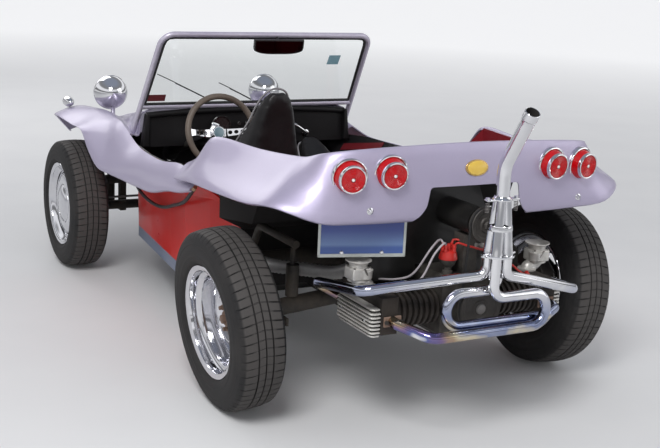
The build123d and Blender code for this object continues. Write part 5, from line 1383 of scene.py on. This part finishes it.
for side in (-1, 1):
    for z, nut_up in ((8, -9.5), (192, 3)):
        at = COLLECTOR_AT + Vector((side * TIE_OUT, 0, z * MM))
        x = sorted((side * 0.028, side * 0.066))
        ear_low, ear_high = Vector((x[0], at.y - 0.011, at.z - 0.0035)), Vector((x[1], at.y + 0.011, at.z + 0.0035))
        collector.append(blocky("ear", ear_low, ear_high, 0.0025, chrome))
        collector.append(turned_piece("ear_nut", EAR_NUT, at + Vector((0, 0, nut_up * MM)), UPWARDS, 6, chrome, MM))
    bolt_line = [COLLECTOR_AT + Vector((side * TIE_OUT, 0, z)) for z in (0, 0.2)]
    collector.append(round_bar("tie_bolt", bolt_line, 0.004, chrome, order=2))
    spring_line = []
    for k in range(SPRING_STEPS + 1):
        turn = k / SPRING_STEPS * 2 * math.pi * SPRING_TURNS
        coil_at = (side * TIE_OUT + 0.0068 * math.cos(turn), 0.0068 * math.sin(turn), 0.150 + 0.034 * k / SPRING_STEPS)
        spring_line.append(COLLECTOR_AT + Vector(coil_at))
    collector.append(round_bar("tie_spring", spring_line, 0.0012, bare_steel, sides=2))

mouth, bend_corner = at_mm(0, -737, 1162), at_mm(0, -615, 966)
up_way = (mouth - bend_corner).normalized()
BEND_STEPS, BEND_REACH = 12, 0.030
bend_low, bend_high = bend_corner - Vector((0, 0, BEND_REACH)), bend_corner + up_way * BEND_REACH
pipe_line = [COLLECTOR_AT + Vector((0, 0, 0.19)), at_mm(0, -615, 880)]
for k in range(BEND_STEPS + 1):
    t = k / BEND_STEPS
    pipe_line.append(bend_low.lerp(bend_corner, t).lerp(bend_corner.lerp(bend_high, t), t))
pipe_line += [bend_corner + up_way * (0.06 + 0.02 * k) for k in range(8)]
pipe_line.append(mouth)
flat = Vector((1, 0, 0))
pipe_ways = [(point, flat, way.cross(flat)) for point, way in directed(pipe_line)]
outside = [ring_round(*row, 0.024, 40) for row in pipe_ways[:-1]]
# the rolled mouth: distance back from the end, and radius
for back, reach in ((0.030, 0.0242), (0.028, 0.0262), (0.004, 0.0264), (0.001, 0.0258), (0.0, 0.0245),
                    (0.001, 0.0225)):
    outside.append(ring_round(mouth - up_way * back, *pipe_ways[-1][1:], reach, 40))
stinger = laid_grid("stinger", outside)
face_outwards(stinger)
soften(stinger, 40)
soot = finish_of("soot", ((0.008, 0.007, 0.007), (0.03, 0.027, 0.025)), (0.8, 0.95))
bore = laid_grid("stinger_bore", [ring_round(*row, 0.0225, 40) for row in pipe_ways[8:]][::-1])
face_outwards(bore)
bore.data.flip_normals()
collector += [painted(stinger, chrome), painted(bore, soot)]
place_it(merge("collector_and_stinger", *collector), "collector")

# Header flanges: plates of rusted steel sawn from strip, one where each pipe leaves its head. Two
# studs with plain nuts hold each of them.
FLANGE_NUT = ((0, 0), (0, 7.5), (7, 7.5), (8, 4), (14, 4), (14, 0))
FLANGE_BORE = ((-20, 0), (-20, 19.2), (30, 19.2), (30, 0))
flanges = []
for side in (-1, 1):
    for x, y, z, way in ((330, -209.4, 420, 1), (322, -490.6, 430, -1)):
        y_low, y_high = sorted((y, y + way * 7))
        plate = blocky("flange", at_mm(side * x - 34, y_low, z - 18), at_mm(side * x + 34, y_high, z + 18), 0.003)
        cut_with(plate, turned_piece("flange_bore", FLANGE_BORE, at_mm(side * x, y, z), (0, way, 0), 32, unit=MM))
        soften(plate)
        flanges.append(painted(plate, rust))
        for dx in (-26, 26):
            nut_at = at_mm(side * x + dx, y + way * 7, z)
            flanges.append(turned_piece("flange_nut", FLANGE_NUT, nut_at, (0, way, 0), 6, steel_dark, MM))
place_it(merge("header_flanges", *flanges))


# Licence plate: pressed aluminium in a light frame, hung by two straps. It is blank: a dark blue
# field fades to a mid blue below, with a yellow band along the top.
plate_at, plate_turn = at_mm(-370, -348, 694), math.radians(-16.5)
plate_right = Vector((math.cos(plate_turn), math.sin(plate_turn), 0))
plate_back = Vector((math.sin(plate_turn), -math.cos(plate_turn), 0))
plate_paint, tree, shader = new_material("plate_enamel")
split = tree.nodes.new("ShaderNodeSeparateXYZ")
tree.links.new(fed(tree, "ShaderNodeTexCoord", "Object"), split.inputs[0])
up_plate = fed(tree, "ShaderNodeMapRange", "Result", Value=split.outputs["Z"], From_Min=0.620, From_Max=0.768)
FADE = (
    (0.22, (0.05, 0.11, 0.36)), (0.30, (0.16, 0.26, 0.50)), (0.62, (0.05, 0.09, 0.34)), (0.84, (0.03, 0.05, 0.26)),
    (0.86, (0.62, 0.50, 0.14)), (0.94, (0.62, 0.50, 0.14)), (0.96, (0.02, 0.04, 0.22)),
)
shade(tree, shader, Base_Color=ramp_of(tree, up_plate, (0.05, 0.11, 0.36), (0.02, 0.04, 0.22), between=FADE),
      Roughness=0.35, Coat_Weight=0.4)


def on_plate(a, b, out):
    """A point from the plate's middle, in millimetres: to the right, up, and out of its face."""
    return plate_at + plate_right * a * MM + Vector((0, 0, b * MM)) + plate_back * out * MM


def plate_slab(name, a, b, out, rounding, corner, material):
    """A flat bar or sheet in the plate's own directions, each with its two ends in millimetres."""
    slab = blocky(name, (a[0] * MM, out[0] * MM, b[0] * MM), (a[1] * MM, out[1] * MM, b[1] * MM), 0.0)
    with edited(slab) as shape:
        if corner:
            rounded_along(shape, 1, 1e-4, corner * MM)
        for vertex in shape.verts:
            across, outwards, up = vertex.co / MM
            vertex.co = on_plate(across, up, outwards)
        bmesh.ops.recalc_face_normals(shape, faces=shape.faces)
    bevelled(slab, rounding * MM, 3, 50)
    soften(slab)
    return painted(slab, material)


PLATE_BOLT = ((0, 0), (0, 7.5), (2, 7.5), (5, 5), (5.5, 0))
plate_frame = finish_of("plate_frame", ((0.50, 0.53, 0.50), (0.68, 0.70, 0.67)), (0.3, 0.5), metal=0.3)
plate_parts = [plate_slab("plate_sheet", (-148, 148), (-70, 70), (-1.5, 0.5), 0.4, 8, plate_paint)]
for a, b in (((-153, 153), (-74, -62)), ((-153, 153), (66, 74)), ((-153, -144), (-74, 74)), ((144, 153), (-74, 74))):
    plate_parts.append(plate_slab("plate_edge", a, b, (-2.5, 3.0), 1.2, 3, plate_frame))
for a in (-70, 70):
    plate_parts.append(plate_slab("strap", (a - 9, a + 9), (36, 138), (-4.2, -2.4), 0.5, 0, steel_black))
    for b in (58, -58):
        plate_parts.append(turned_piece("plate_bolt", PLATE_BOLT, on_plate(a, b, 0.5), plate_back, 20, chrome, MM))
    foot = on_plate(a, 0, 0)
    foot_low = Vector((foot.x - 0.009, -0.4405 - AXLE_AHEAD, 0.836))
    foot_high = Vector((foot.x + 0.009, foot.y + 0.004, 0.8385))
    plate_parts.append(blocky("strap_foot", foot_low, foot_high, 0.0005, steel_black))
place_it(merge("plate_in_frame", *plate_parts), "licence_plate")


# Seats: low-backed buckets in black vinyl over foam, with wings, bolsters and five sewn channels in
# the cushion. Grey piping edges them. The back hinges on a steel tube, and the passenger's is folded.
SEAT_X, SEAT_PIVOT = 250, (688, 360)
# height above the hinge, half-width, how far the driver's and the passenger's wings stand forward
SEAT_BACK = (
    (-30, 140, 120, 0), (60, 152, 140, 0), (160, 154, 150, 22), (250, 150, 151, 25), (340, 142, 150, 26),
    (420, 128, 134, 24), (478, 114, 112, 20), (520, 104, 86, 14), (570, 92, 58, 7), (640, 76, 32, 3), (688, 58, 8, 1),
    (708, 36, 0, 0),
)
PAD_INSET = 5.0
# place ahead of the rear axle, bolster height, half-width
SEAT_BASE = (
    (710, 0, 160), (740, 2, 171), (800, 30, 174), (860, 46, 175), (960, 48, 175), (1040, 42, 174), (1078, 20, 172),
    (1100, 0, 160),
)
BACK_SEAMS, BASE_SEAMS, CROSS_SEAM = (-0.075, -0.025, 0.025, 0.075), (-0.105, -0.0525, 0.0, 0.0525, 0.105), 0.79
SEAM_WIDTH = 0.0045
vinyl, tree, shader = new_material("seat_vinyl")
vinyl_at = fed(tree, "ShaderNodeTexCoord", "Object")
pores = fed(tree, "ShaderNodeTexVoronoi", "Distance", Vector=vinyl_at, Scale=620.0)
creases = fed(tree, "ShaderNodeTexNoise", "Fac", Vector=vinyl_at, Scale=26.0, Detail=6.0, Distortion=0.6)
wear = uneven(tree, 6.0, 70.0)
creased = fed(tree, "ShaderNodeBump", "Normal", Strength=0.30, Distance=0.004, Height=creases)
shade(
    tree, shader, Base_Color=ramp_of(tree, wear, (0.004, 0.0035, 0.004), (0.012, 0.0105, 0.0115)),
    Roughness=spread(tree, wear, 0.36, 0.52), Specular_IOR_Level=0.35,
    Normal=fed(tree, "ShaderNodeBump", "Normal", Strength=0.22, Distance=0.0005, Height=pores, Normal=creased),
)
piping_grey = finish_of("piping_grey", ((0.20, 0.19, 0.20), (0.34, 0.33, 0.34)), (0.35, 0.5), grain=0.2)


def stuffed(pad, cap, pressure=4.0, moments=20):
    """Swells a closed pad under cloth pressure, holding every point within the cap, and smooths it."""
    remesh = pad.modifiers.new("voxels", "REMESH")
    remesh.mode, remesh.voxel_size = "VOXEL", 0.0068
    finish_modifiers(pad)
    before = [v.co.copy() for v in pad.data.vertices]
    skin = pad.modifiers.new("skin", "CLOTH")
    skin.settings.use_pressure = True
    skin.settings.uniform_pressure_force = pressure
    skin.settings.effector_weights.gravity = 0
    skin.settings.quality = 5
    skin.point_cache.frame_start, skin.point_cache.frame_end = 1, moments
    for moment in range(1, moments + 1):
        bpy.context.scene.frame_set(moment)
    finish_modifiers(pad)
    bpy.context.scene.frame_set(1)
    for vertex, was in zip(pad.data.vertices, before):
        move = vertex.co - was
        if move.length > cap:
            vertex.co = was + move * (cap / move.length)
    calm = pad.modifiers.new("calm", "SMOOTH")
    calm.factor, calm.iterations = 0.5, 4
    finish_modifiers(pad)
    return pad


def closed_loft(name, rings):
    """Lays a closed skin over rings of points and fills both ends."""
    piece = laid_grid(name, [[*ring, ring[0]] for ring in rings])
    with edited(piece) as shape:
        bmesh.ops.remove_doubles(shape, verts=shape.verts, dist=1e-5)
        bmesh.ops.holes_fill(shape, edges=[e for e in shape.edges if e.is_boundary], sides=0)
        bmesh.ops.recalc_face_normals(shape, faces=shape.faces)
    return piece


def sewn(place, seams, width=SEAM_WIDTH):
    """How far a seam draws the vinyl in at a place, from 0 to 1 at a seam."""
    return sum(math.exp(-((place - seam) / width) ** 2) for seam in seams)


def upholstered(pad):
    """Makes the mesh of a finished pad finer, and shades it smooth."""
    detail = pad.modifiers.new("detail", "SUBSURF")
    detail.levels = detail.render_levels = 1
    finish_modifiers(pad)
    soften(pad, 80)


# side, name, the back's lean, and where in a row of the back its wing stands
for side, name, lean, wing_at in ((-1, "driver", 6, 2), (1, "passenger", -60, 3)):
    tilt = math.radians(lean)
    middle = side * SEAT_X

    def on_back(x, y, z):
        """A point in the tilted back's own directions from its hinge, in millimetres."""
        ahead_of, above = y * math.cos(tilt) - z * math.sin(tilt), y * math.sin(tilt) + z * math.cos(tilt)
        return at_mm(middle + x, SEAT_PIVOT[0] + ahead_of, SEAT_PIVOT[1] + above)

    rings, edge = [], []
    for row in SEAT_BACK:
        z, half, wing = row[0], row[1] - PAD_INSET, row[wing_at]
        right = [
            (half * 0.45, -40), (half * 0.85, -38), (half - 3, -30), (half, -12), (half, max(wing - 10, -4)),
            (half - 7, max(wing, 2)), (half - 18, max(wing - 4, -2)), (half - 24, min(wing, 4) - 6), (half * 0.5, -8),
        ]
        rings.append([on_back(x, y, z) for x, y in [*right, *[(-x, y) for x, y in reversed(right)]]])
        edge.append((half - 1, max(wing - 5, -3), z))
    back = stuffed(closed_loft(f"{name}_back", rings), 0.008)
    inwards = (on_back(0, 0, 0) - on_back(0, 1, 0)).normalized()
    for vertex in back.data.vertices:
        local = vertex.co - at_mm(middle, *SEAT_PIVOT)
        height = -local.y * math.sin(tilt) + local.z * math.cos(tilt)
        depth = local.y * math.cos(tilt) + local.z * math.sin(tilt)
        if depth > -0.02 and 0.06 < height < 0.5:
            vertex.co += inwards * 0.005 * min(sewn(local.x, BACK_SEAMS), 1)
    upholstered(back)
    place_it(back, f"{name}_seat", material=vinyl)

    rings = []
    for y, bolster, half in SEAT_BASE:
        drop = 6 if y in (SEAT_BASE[0][0], SEAT_BASE[-1][0]) else 0
        right = [
            (half * 0.5, 283 + drop), (half - 8, 283 + drop), (half, 296), (half, 330),
            (half - 2, 346 - drop + bolster),
            (half - 16, 352 - drop + bolster), (half - 30, 348 - drop + bolster * 0.55), (half - 44, 346 - drop),
            (half * 0.4, 344 - drop),
        ]
        rings.append([at_mm(middle + x, y, z) for x, z in [*right, *[(-x, z) for x, z in reversed(right)]]])
    cushion = stuffed(closed_loft(f"{name}_cushion", rings), 0.007)
    for vertex in cushion.data.vertices:
        x, y, z = vertex.co.x - middle * MM, vertex.co.y + AXLE_AHEAD, vertex.co.z
        if z > 0.32 and abs(x) < 0.128:
            seam = sewn(x, BASE_SEAMS) + sewn(y, (CROSS_SEAM,), 0.005)
            vertex.co.z -= 0.006 * min(seam, 1) * min(1, max(0, (1.085 - y) / 0.03))
    upholstered(cushion)
    place_it(cushion, material=vinyl)

    right = edge[1:]
    back_line = [on_back(*p) for p in (*right, (0, 0, 714), *[(-x, y, z) for x, y, z in reversed(right)])]
    base_line = [
        at_mm(middle + s * (half + 3), y, 338 + bolster * 0.9)
        for s, run in ((1, SEAT_BASE), (-1, SEAT_BASE[::-1])) for y, bolster, half in run
    ]
    piping = merge(
        f"{name}_piping",
        round_bar("back_piping", smooth_line(back_line, 5), 0.0042, piping_grey, order=2, sides=4),
        round_bar("base_piping", smooth_line(base_line, 5), 0.0038, piping_grey, order=2, sides=4, cyclic=True),
    )
    place_it(piping)

    HINGE = ((-14, 0), (-14, 14), (14, 14), (14, 0))
    frame_parts = []
    for s in (-1, 1):
        x = middle + s * 140
        rail = ((762, 234), (766, 268), (800, 277), (1010, 277), (1044, 268), (1048, 234))
        plate = ((middle + s * 162, 688, 360), (middle + s * 162, 716, 318), (middle + s * 158, 748, 290))
        hinge_at = at_mm(middle + s * 152, *SEAT_PIVOT)
        frame_parts += [
            blocky("runner", at_mm(x - 12, 752, 222), at_mm(x + 12, 1058, 234), 0.0015, steel_black),
            round_bar("rail", smooth_line([at_mm(x, y, z) for y, z in rail], 4), 0.009, steel_black),
            turned_piece("hinge", HINGE, hinge_at, (1, 0, 0), 24, bare_steel, MM),
            round_bar("hinge_plate", [at_mm(*p) for p in plate], 0.007, steel_black),
        ]
    for bar, y, z, radius in (
        ("hinge_bar", *SEAT_PIVOT, 0.010), ("cross_bar", 780, 272, 0.009), ("cross_bar", 1030, 272, 0.009),
    ):
        frame_parts.append(round_bar(bar, [at_mm(middle + x, y, z) for x in (-140, 140)], radius, steel_black,
                                     order=2))
    place_it(merge(f"{name}_seat_frame", *frame_parts))


# Floor controls: three pedals with ribbed rubber pads, a chromed gear lever with a black knob in a
# rubber boot on the tunnel, and a chromed hand brake lever with a black grip and release button.
PEDAL_X = (-400, -320, -200)
PEDAL_ARM = ((1540, 222.5), (1546, 300), (1534, 380), (1516, 428))
PAD_RIBS = (-0.021, -0.0105, 0, 0.0105, 0.021)
pad_tilt = Matrix.Rotation(math.radians(20), 3, "X")
controls = []
for x in PEDAL_X:
    arm_line = smooth_line([at_mm(x, y, z) for y, z in PEDAL_ARM], 4)
    controls.append(round_bar("pedal_arm", arm_line, 0.007, steel_black))
    pad = blocky("pedal_pad", (-0.026, -0.006, -0.031), (0.026, 0.006, 0.031), 0.004, seal_black)
    ribs = [
        blocky("pad_rib", (-0.021, -0.0085, z - 0.0022), (0.021, -0.004, z + 0.0022), 0.0012, seal_black, segments=2)
        for z in PAD_RIBS
    ]
    pad = merge("pedal_pad", pad, *ribs)
    for vertex in pad.data.vertices:
        vertex.co = at_mm(x, 1506, 430) + pad_tilt @ vertex.co
    controls.append(pad)

BRAKE_WAY = (0, 0.60, 0.74)
GEAR_LINE = ((1150, 387.5), (1143, 450), (1118, 560), (1088, 668))
BRAKE_LINE = ((900, 384), (930, 424), (985, 490), (1004, 513))
BRAKE_GRIP = ((0, 9), (4, 13.5), (80, 14.5), (88, 12.5), (90, 0))
BRAKE_BUTTON = ((0, 6), (12, 6), (14, 3), (14, 0))
boot = [(0, 0), (0, 0.040), (0.004, 0.040)]
for k in range(4):
    boot += [(0.008 + 0.006 * k, 0.036 - 0.007 * k), (0.011 + 0.006 * k, 0.030 - 0.006 * k)]
boot += [(0.038, 0.009), (0.038, 0)]
knob_turns = [(-0.5 + k / 16) * math.pi * 0.999 for k in range(17)]
gear_knob = [(math.sin(turn) * 0.024, math.cos(turn) * 0.023) for turn in knob_turns]
controls += [
    turned_piece("lever_boot", boot, at_mm(0, 1150, 367.5), UPWARDS, 40, seal_black),
    round_bar("gear_lever", smooth_line([at_mm(0, y, z) for y, z in GEAR_LINE], 5), 0.0065, chrome),
    turned_piece("gear_knob", gear_knob, at_mm(0, 1080, 690), (0, -0.2, 1), 32, gloss_black),
    round_bar("hand_brake", smooth_line([at_mm(0, y, z) for y, z in BRAKE_LINE], 5), 0.0085, chrome),
    turned_piece("brake_grip", BRAKE_GRIP, at_mm(0, 962, 462), BRAKE_WAY, 28, seal_black, MM),
    turned_piece("brake_button", BRAKE_BUTTON, at_mm(0, 1014, 528), BRAKE_WAY, 16, chrome, MM),
    blocky("brake_foot", at_mm(-22, 876, 367.5), at_mm(22, 930, 398), 0.005, steel_black),
]
place_it(merge("pedals_and_levers", *controls), "floor_controls")


# Tyres: road radials in worn black rubber. Three grooves part the tread's ribs, cross cuts break up
# its shoulders, and fine ridges ring the side walls. The bead sits on the rim.
TREAD = ((-68, -6.0), (-45, -1.8), (-22, -0.4), (0, 0), (22, -0.4), (45, -1.8), (68, -6.0))
GROOVES = ((-27, 2.6), (0, 2.2), (27, 2.6))      # place across the tread and half-width
GROOVE_DEPTH, CUT_DEPTH = 7.0, 4.5
TREAD_COLUMNS = (-68, -64, -56, -48, -40, -34, -20, -13.5, -7, 7, 13.5, 20, 34, 40, 48, 56, 64, 68)
SIDE_WALL = (
    (74, -11), (80, -17.5), (84, -24), (86.2, -31), (86.4, -33), (88.6, -38), (89.0, -46), (89.6, -47), (89.6, -49),
    (89.0, -50), (91.4, -60), (92.3, -68), (91.9, -80), (90.7, -90), (91.1, -91), (91.1, -93), (90.3, -94),
)
BEAD = ((88.6, 222), (84, 214), (76, 208.5), (74, 207), (73.5, 203), (73.5, 190), (58, 190), (64, 221), (79, 241))
CUT_STEPS = ((0.0, 0.0), (0.035, 1.0), (0.155, 1.0), (0.19, 0.0))      # share of the pitch, share of the cut's depth


def wheel_frame(side, rear):
    """The wheel's centre with its outward, forward and upward directions."""
    lean = CAMBER if rear else 0.0
    centre = at_mm(side * REAR_WHEEL_X, 0, REAR_WHEEL_Z) if rear else at_mm(side * 683, 2030, 319)
    out = Vector((side * math.cos(lean), 0, -math.sin(lean)))
    ahead_way = Vector((0, 1, 0))
    return centre, out, ahead_way, ahead_way.cross(out) * -side


def crown(a):
    """How much lower than in its middle the tread is at a place across it."""
    for (a0, r0), (a1, r1) in zip(TREAD, TREAD[1:]):
        if a <= a1:
            return r0 + (r1 - r0) * (a - a0) / (a1 - a0)
    return TREAD[-1][1]


def tyre_columns(radius):
    """Across the tyre: place, radius, how deep the groove is and how deep the cross cuts go there."""
    groove_edges = [g + s * (w + e) for g, w in GROOVES for s, e in ((-1, 0.5), (-1, -0.3), (1, -0.3), (1, 0.5))]
    across = []
    for a in (*TREAD_COLUMNS, *groove_edges):
        depth = max((GROOVE_DEPTH for g, w in GROOVES if abs(a - g) < w), default=0.0)
        cut = 1.0 if abs(a) > 46 else (0.45 if abs(a) > 31 else 0.35)
        across.append((a, radius + crown(a), depth, 0.0 if depth else cut))
    wall = [(a, radius + r, 0.0, 0.9 if a < 80 else (0.4 if a < 84 else 0.0)) for a, r in SIDE_WALL]
    half = [*wall, *[(a, r, 0.0, 0.0) for a, r in BEAD]]
    inner = [(45, radius - 26, 0, 0), (0, radius - 17, 0, 0), (-45, radius - 26, 0, 0)]
    return [*sorted(across), *half, *inner, *[(-a, r, d, c) for a, r, d, c in reversed(half)]]


def make_tyre(name, side, rear, pitches):
    """A tyre laid round its wheel pitch by pitch, with the height of its tread kept as an attribute."""
    radius = 331.0 if rear else 319.0
    centre, out, ahead_way, up = wheel_frame(side, rear)
    columns = tyre_columns(radius)
    rows = []
    for p in range(pitches):
        for part, cut in CUT_STEPS:
            row = []
            for a, r, groove, depth in columns:
                skew = 0.35 * abs(a) / 68 if abs(a) <= 84 else 0.43
                long_cut = 1.0 if (p % 2 == 0 or abs(a) < 31) else 0.55
                turn = 2 * math.pi * (p + part + skew) / pitches
                reach = r - groove - cut * depth * CUT_DEPTH * long_cut
                row.append(centre + (out * a + (ahead_way * math.cos(turn) + up * math.sin(turn)) * reach) * MM)
            rows.append([*row, row[0]])
    tyre = laid_grid(name, [*rows, rows[0]])
    face_outwards(tyre)
    soften(tyre, 30)
    worn = tyre.data.attributes.new("worn", "FLOAT", "POINT")
    for vertex, value in zip(tyre.data.vertices, worn.data):
        away = vertex.co - centre
        place = abs(away.dot(out)) / MM
        reach = (away - out * away.dot(out)).length / MM
        if place < 70:
            value.value = min(max((reach - radius - crown(place) + 2.5) / 2.0, 0.0), 1.0)
    return tyre


tyre_black, tree, shader = new_material("tyre_rubber")
dust = uneven(tree, 5.0, 90.0)
road_dust = math_of(tree, "MULTIPLY", fed(tree, "ShaderNodeAttribute", "Fac", attribute_name="worn"), 0.7)
rubber_tone = ramp_of(tree, dust, (0.011, 0.011, 0.012), (0.040, 0.037, 0.036))
ROAD_GREY = (0.085, 0.078, 0.074, 1)
dusty = fed(tree, "ShaderNodeMix", "Result", data_type="RGBA", Factor=road_dust, A=rubber_tone, B=ROAD_GREY)
rubber_grain = fed(tree, "ShaderNodeTexNoise", "Fac", Vector=fed(tree, "ShaderNodeTexCoord", "Object"), Scale=420.0,
                   Detail=3.0)
shade(
    tree, shader, Base_Color=dusty, Roughness=spread(tree, dust, 0.62, 0.85), Specular_IOR_Level=0.3,
    Normal=fed(tree, "ShaderNodeBump", "Normal", Strength=0.25, Distance=0.0008, Height=rubber_grain),
)

for side, name in ((-1, "left"), (1, "right")):
    for rear, where, pitches in ((True, "rear", 66), (False, "front", 62)):
        tyre = make_tyre(f"tread_{where}_{name}", side, rear, pitches)
        place_it(tyre, f"tyre_{where}_{name}", f"wheel_{where}_{name}", tyre_black)


# Wheels: chromed steel. The rear ones have a deep dish with eight slots round a bare, rusted hub and
# drum. The front ones have a flat face, a trim ring and a smooth domed cap.
RIM_BARREL = (
    (79.5, 203), (80, 206), (78.5, 207.4), (76, 207.2), (74.5, 205), (74, 200), (73.8, 190.5), (70, 189.2),
    (46, 188.5), (40, 184), (36, 172), (32, 168), (-32, 168), (-36, 172), (-40, 184), (-46, 188.5), (-70, 189.2),
    (-73.8, 190.5), (-74, 200), (-74.5, 205), (-76, 207.2), (-78.5, 207.4), (-80, 206), (-79.5, 203), (-78, 196),
    (-74, 187.5), (-48, 183.5), (-42, 180), (-38, 168), (-34, 164), (34, 164), (38, 167), (42, 178), (48, 183),
    (60, 184), (74, 187.5), (77.5, 196), (79.5, 203),
)
REAR_DISH = (
    (-14, 166), (-15, 158), (-10, 153), (-5, 148), (-2, 140), (0, 128), (2, 110), (3, 98), (1, 90), (-8, 84),
    (-14, 78), (-15, 62), (-19, 62), (-18, 79), (-11, 88), (-2, 93), (-2, 98), (-3, 110), (-5, 128), (-7, 139),
    (-10, 146), (-15, 150), (-20, 157), (-19, 166), (-14, 166),
)
REAR_HUB = (
    (-13, 40), (-13, 52), (-9, 56), (-9, 34), (-4, 32), (8, 30), (12, 26), (12, 18), (16, 17), (24, 16), (25, 0),
)
REAR_DRUM = ((-96, 16), (-96, 118), (-92, 121), (-40, 121), (-36, 118), (-30, 114), (-26, 90), (-22, 60), (-20, 16))
FRONT_FACE = (
    (48, 166), (46, 158), (50, 152), (56, 147), (59, 138), (62, 120), (63, 104), (60, 94), (50, 84), (47, 76),
    (44, 76), (46, 86), (56, 97), (59, 105), (58, 120), (55, 137), (52, 144), (46, 149), (42, 158), (44, 166),
    (48, 166),
)
TRIM_RING = (
    (80, 202), (79, 196), (73, 188), (66, 181), (60, 174), (55, 168), (53, 164), (51, 168), (55, 174), (62, 182),
    (70, 190), (76, 199), (80, 202),
)
DOMED_CAP = ((50, 92), (57, 95), (61, 94), (63, 88), (68, 78), (73, 62), (77, 42), (79, 20), (79.5, 0))
FRONT_DRUM = ((-70, 16), (-70, 113), (-66, 118), (34, 118), (38, 112), (42, 70), (42, 16))
WHEEL_NUT = ((-14, 11), (-6, 10.5), (-4, 8), (5, 7.5), (6, 0))
SLOT_COUNT, SLOT_RING, SLOT_RADIUS, SLOT_HALF = 8, 0.119, 0.0125, 0.0175
NUT_COUNT, NUT_RING, NUT_START = 5, 66, 0.3
rim_chrome = finish_of("rim_chrome", ((0.78, 0.78, 0.80), (0.62, 0.62, 0.66)), (0.05, 0.16), metal=1.0, broad=5,
                       fine=40, grain=0.03, grain_scale=60)

for side, name in ((-1, "left"), (1, "right")):
    centre, out, ahead_way, up = wheel_frame(side, True)
    dish = turned_piece("rim_dish", REAR_DISH, centre, out, 72, rim_chrome, MM)
    for i in range(SLOT_COUNT):
        turn = 2 * math.pi * (i + 0.5) / SLOT_COUNT
        away = ahead_way * math.cos(turn) + up * math.sin(turn)
        along = ahead_way * -math.sin(turn) + up * math.cos(turn)
        select_only()
        bpy.ops.mesh.primitive_cylinder_add(vertices=32, radius=SLOT_RADIUS, depth=0.08)
        slot_tool = bpy.context.object
        for vertex in slot_tool.data.vertices:
            x, y, z = vertex.co
            y += SLOT_HALF if y > 0 else -SLOT_HALF
            vertex.co = centre + away * (SLOT_RING + x) + along * y + out * (z - 0.005)
        cut_with(dish, slot_tool)
    soften(dish, 40)
    nuts = []
    for i in range(NUT_COUNT):
        turn = 2 * math.pi * i / NUT_COUNT + NUT_START
        foot = centre + (ahead_way * math.cos(turn) + up * math.sin(turn)) * NUT_RING * MM
        nuts.append(turned_piece("wheel_nut", WHEEL_NUT, foot, out, 12, rust, MM))
    wheel = merge(
        f"wheel_{name}_rear",
        turned_piece("rim_barrel", RIM_BARREL, centre, out, 72, rim_chrome, MM), dish,
        turned_piece("hub", REAR_HUB, centre, out, 48, rust, MM),
        turned_piece("drum", REAR_DRUM, centre, out, 60, steel_dark, MM), *nuts,
    )
    place_it(wheel, f"rim_rear_{name}", f"wheel_rear_{name}")

    centre, out, _, _ = wheel_frame(side, False)
    front_parts = [
        turned_piece(part, profile, centre, out, steps, material, MM) for part, profile, steps, material in (
            ("rim_barrel", RIM_BARREL, 72, rim_chrome), ("rim_face", FRONT_FACE, 72, rim_chrome),
            ("trim_ring", TRIM_RING, 72, rim_chrome), ("domed_cap", DOMED_CAP, 72, rim_chrome),
            ("front_drum", FRONT_DRUM, 60, steel_dark),
        )
    ]
    place_it(merge(f"wheel_{name}_front", *front_parts), f"rim_front_{name}", f"wheel_front_{name}")
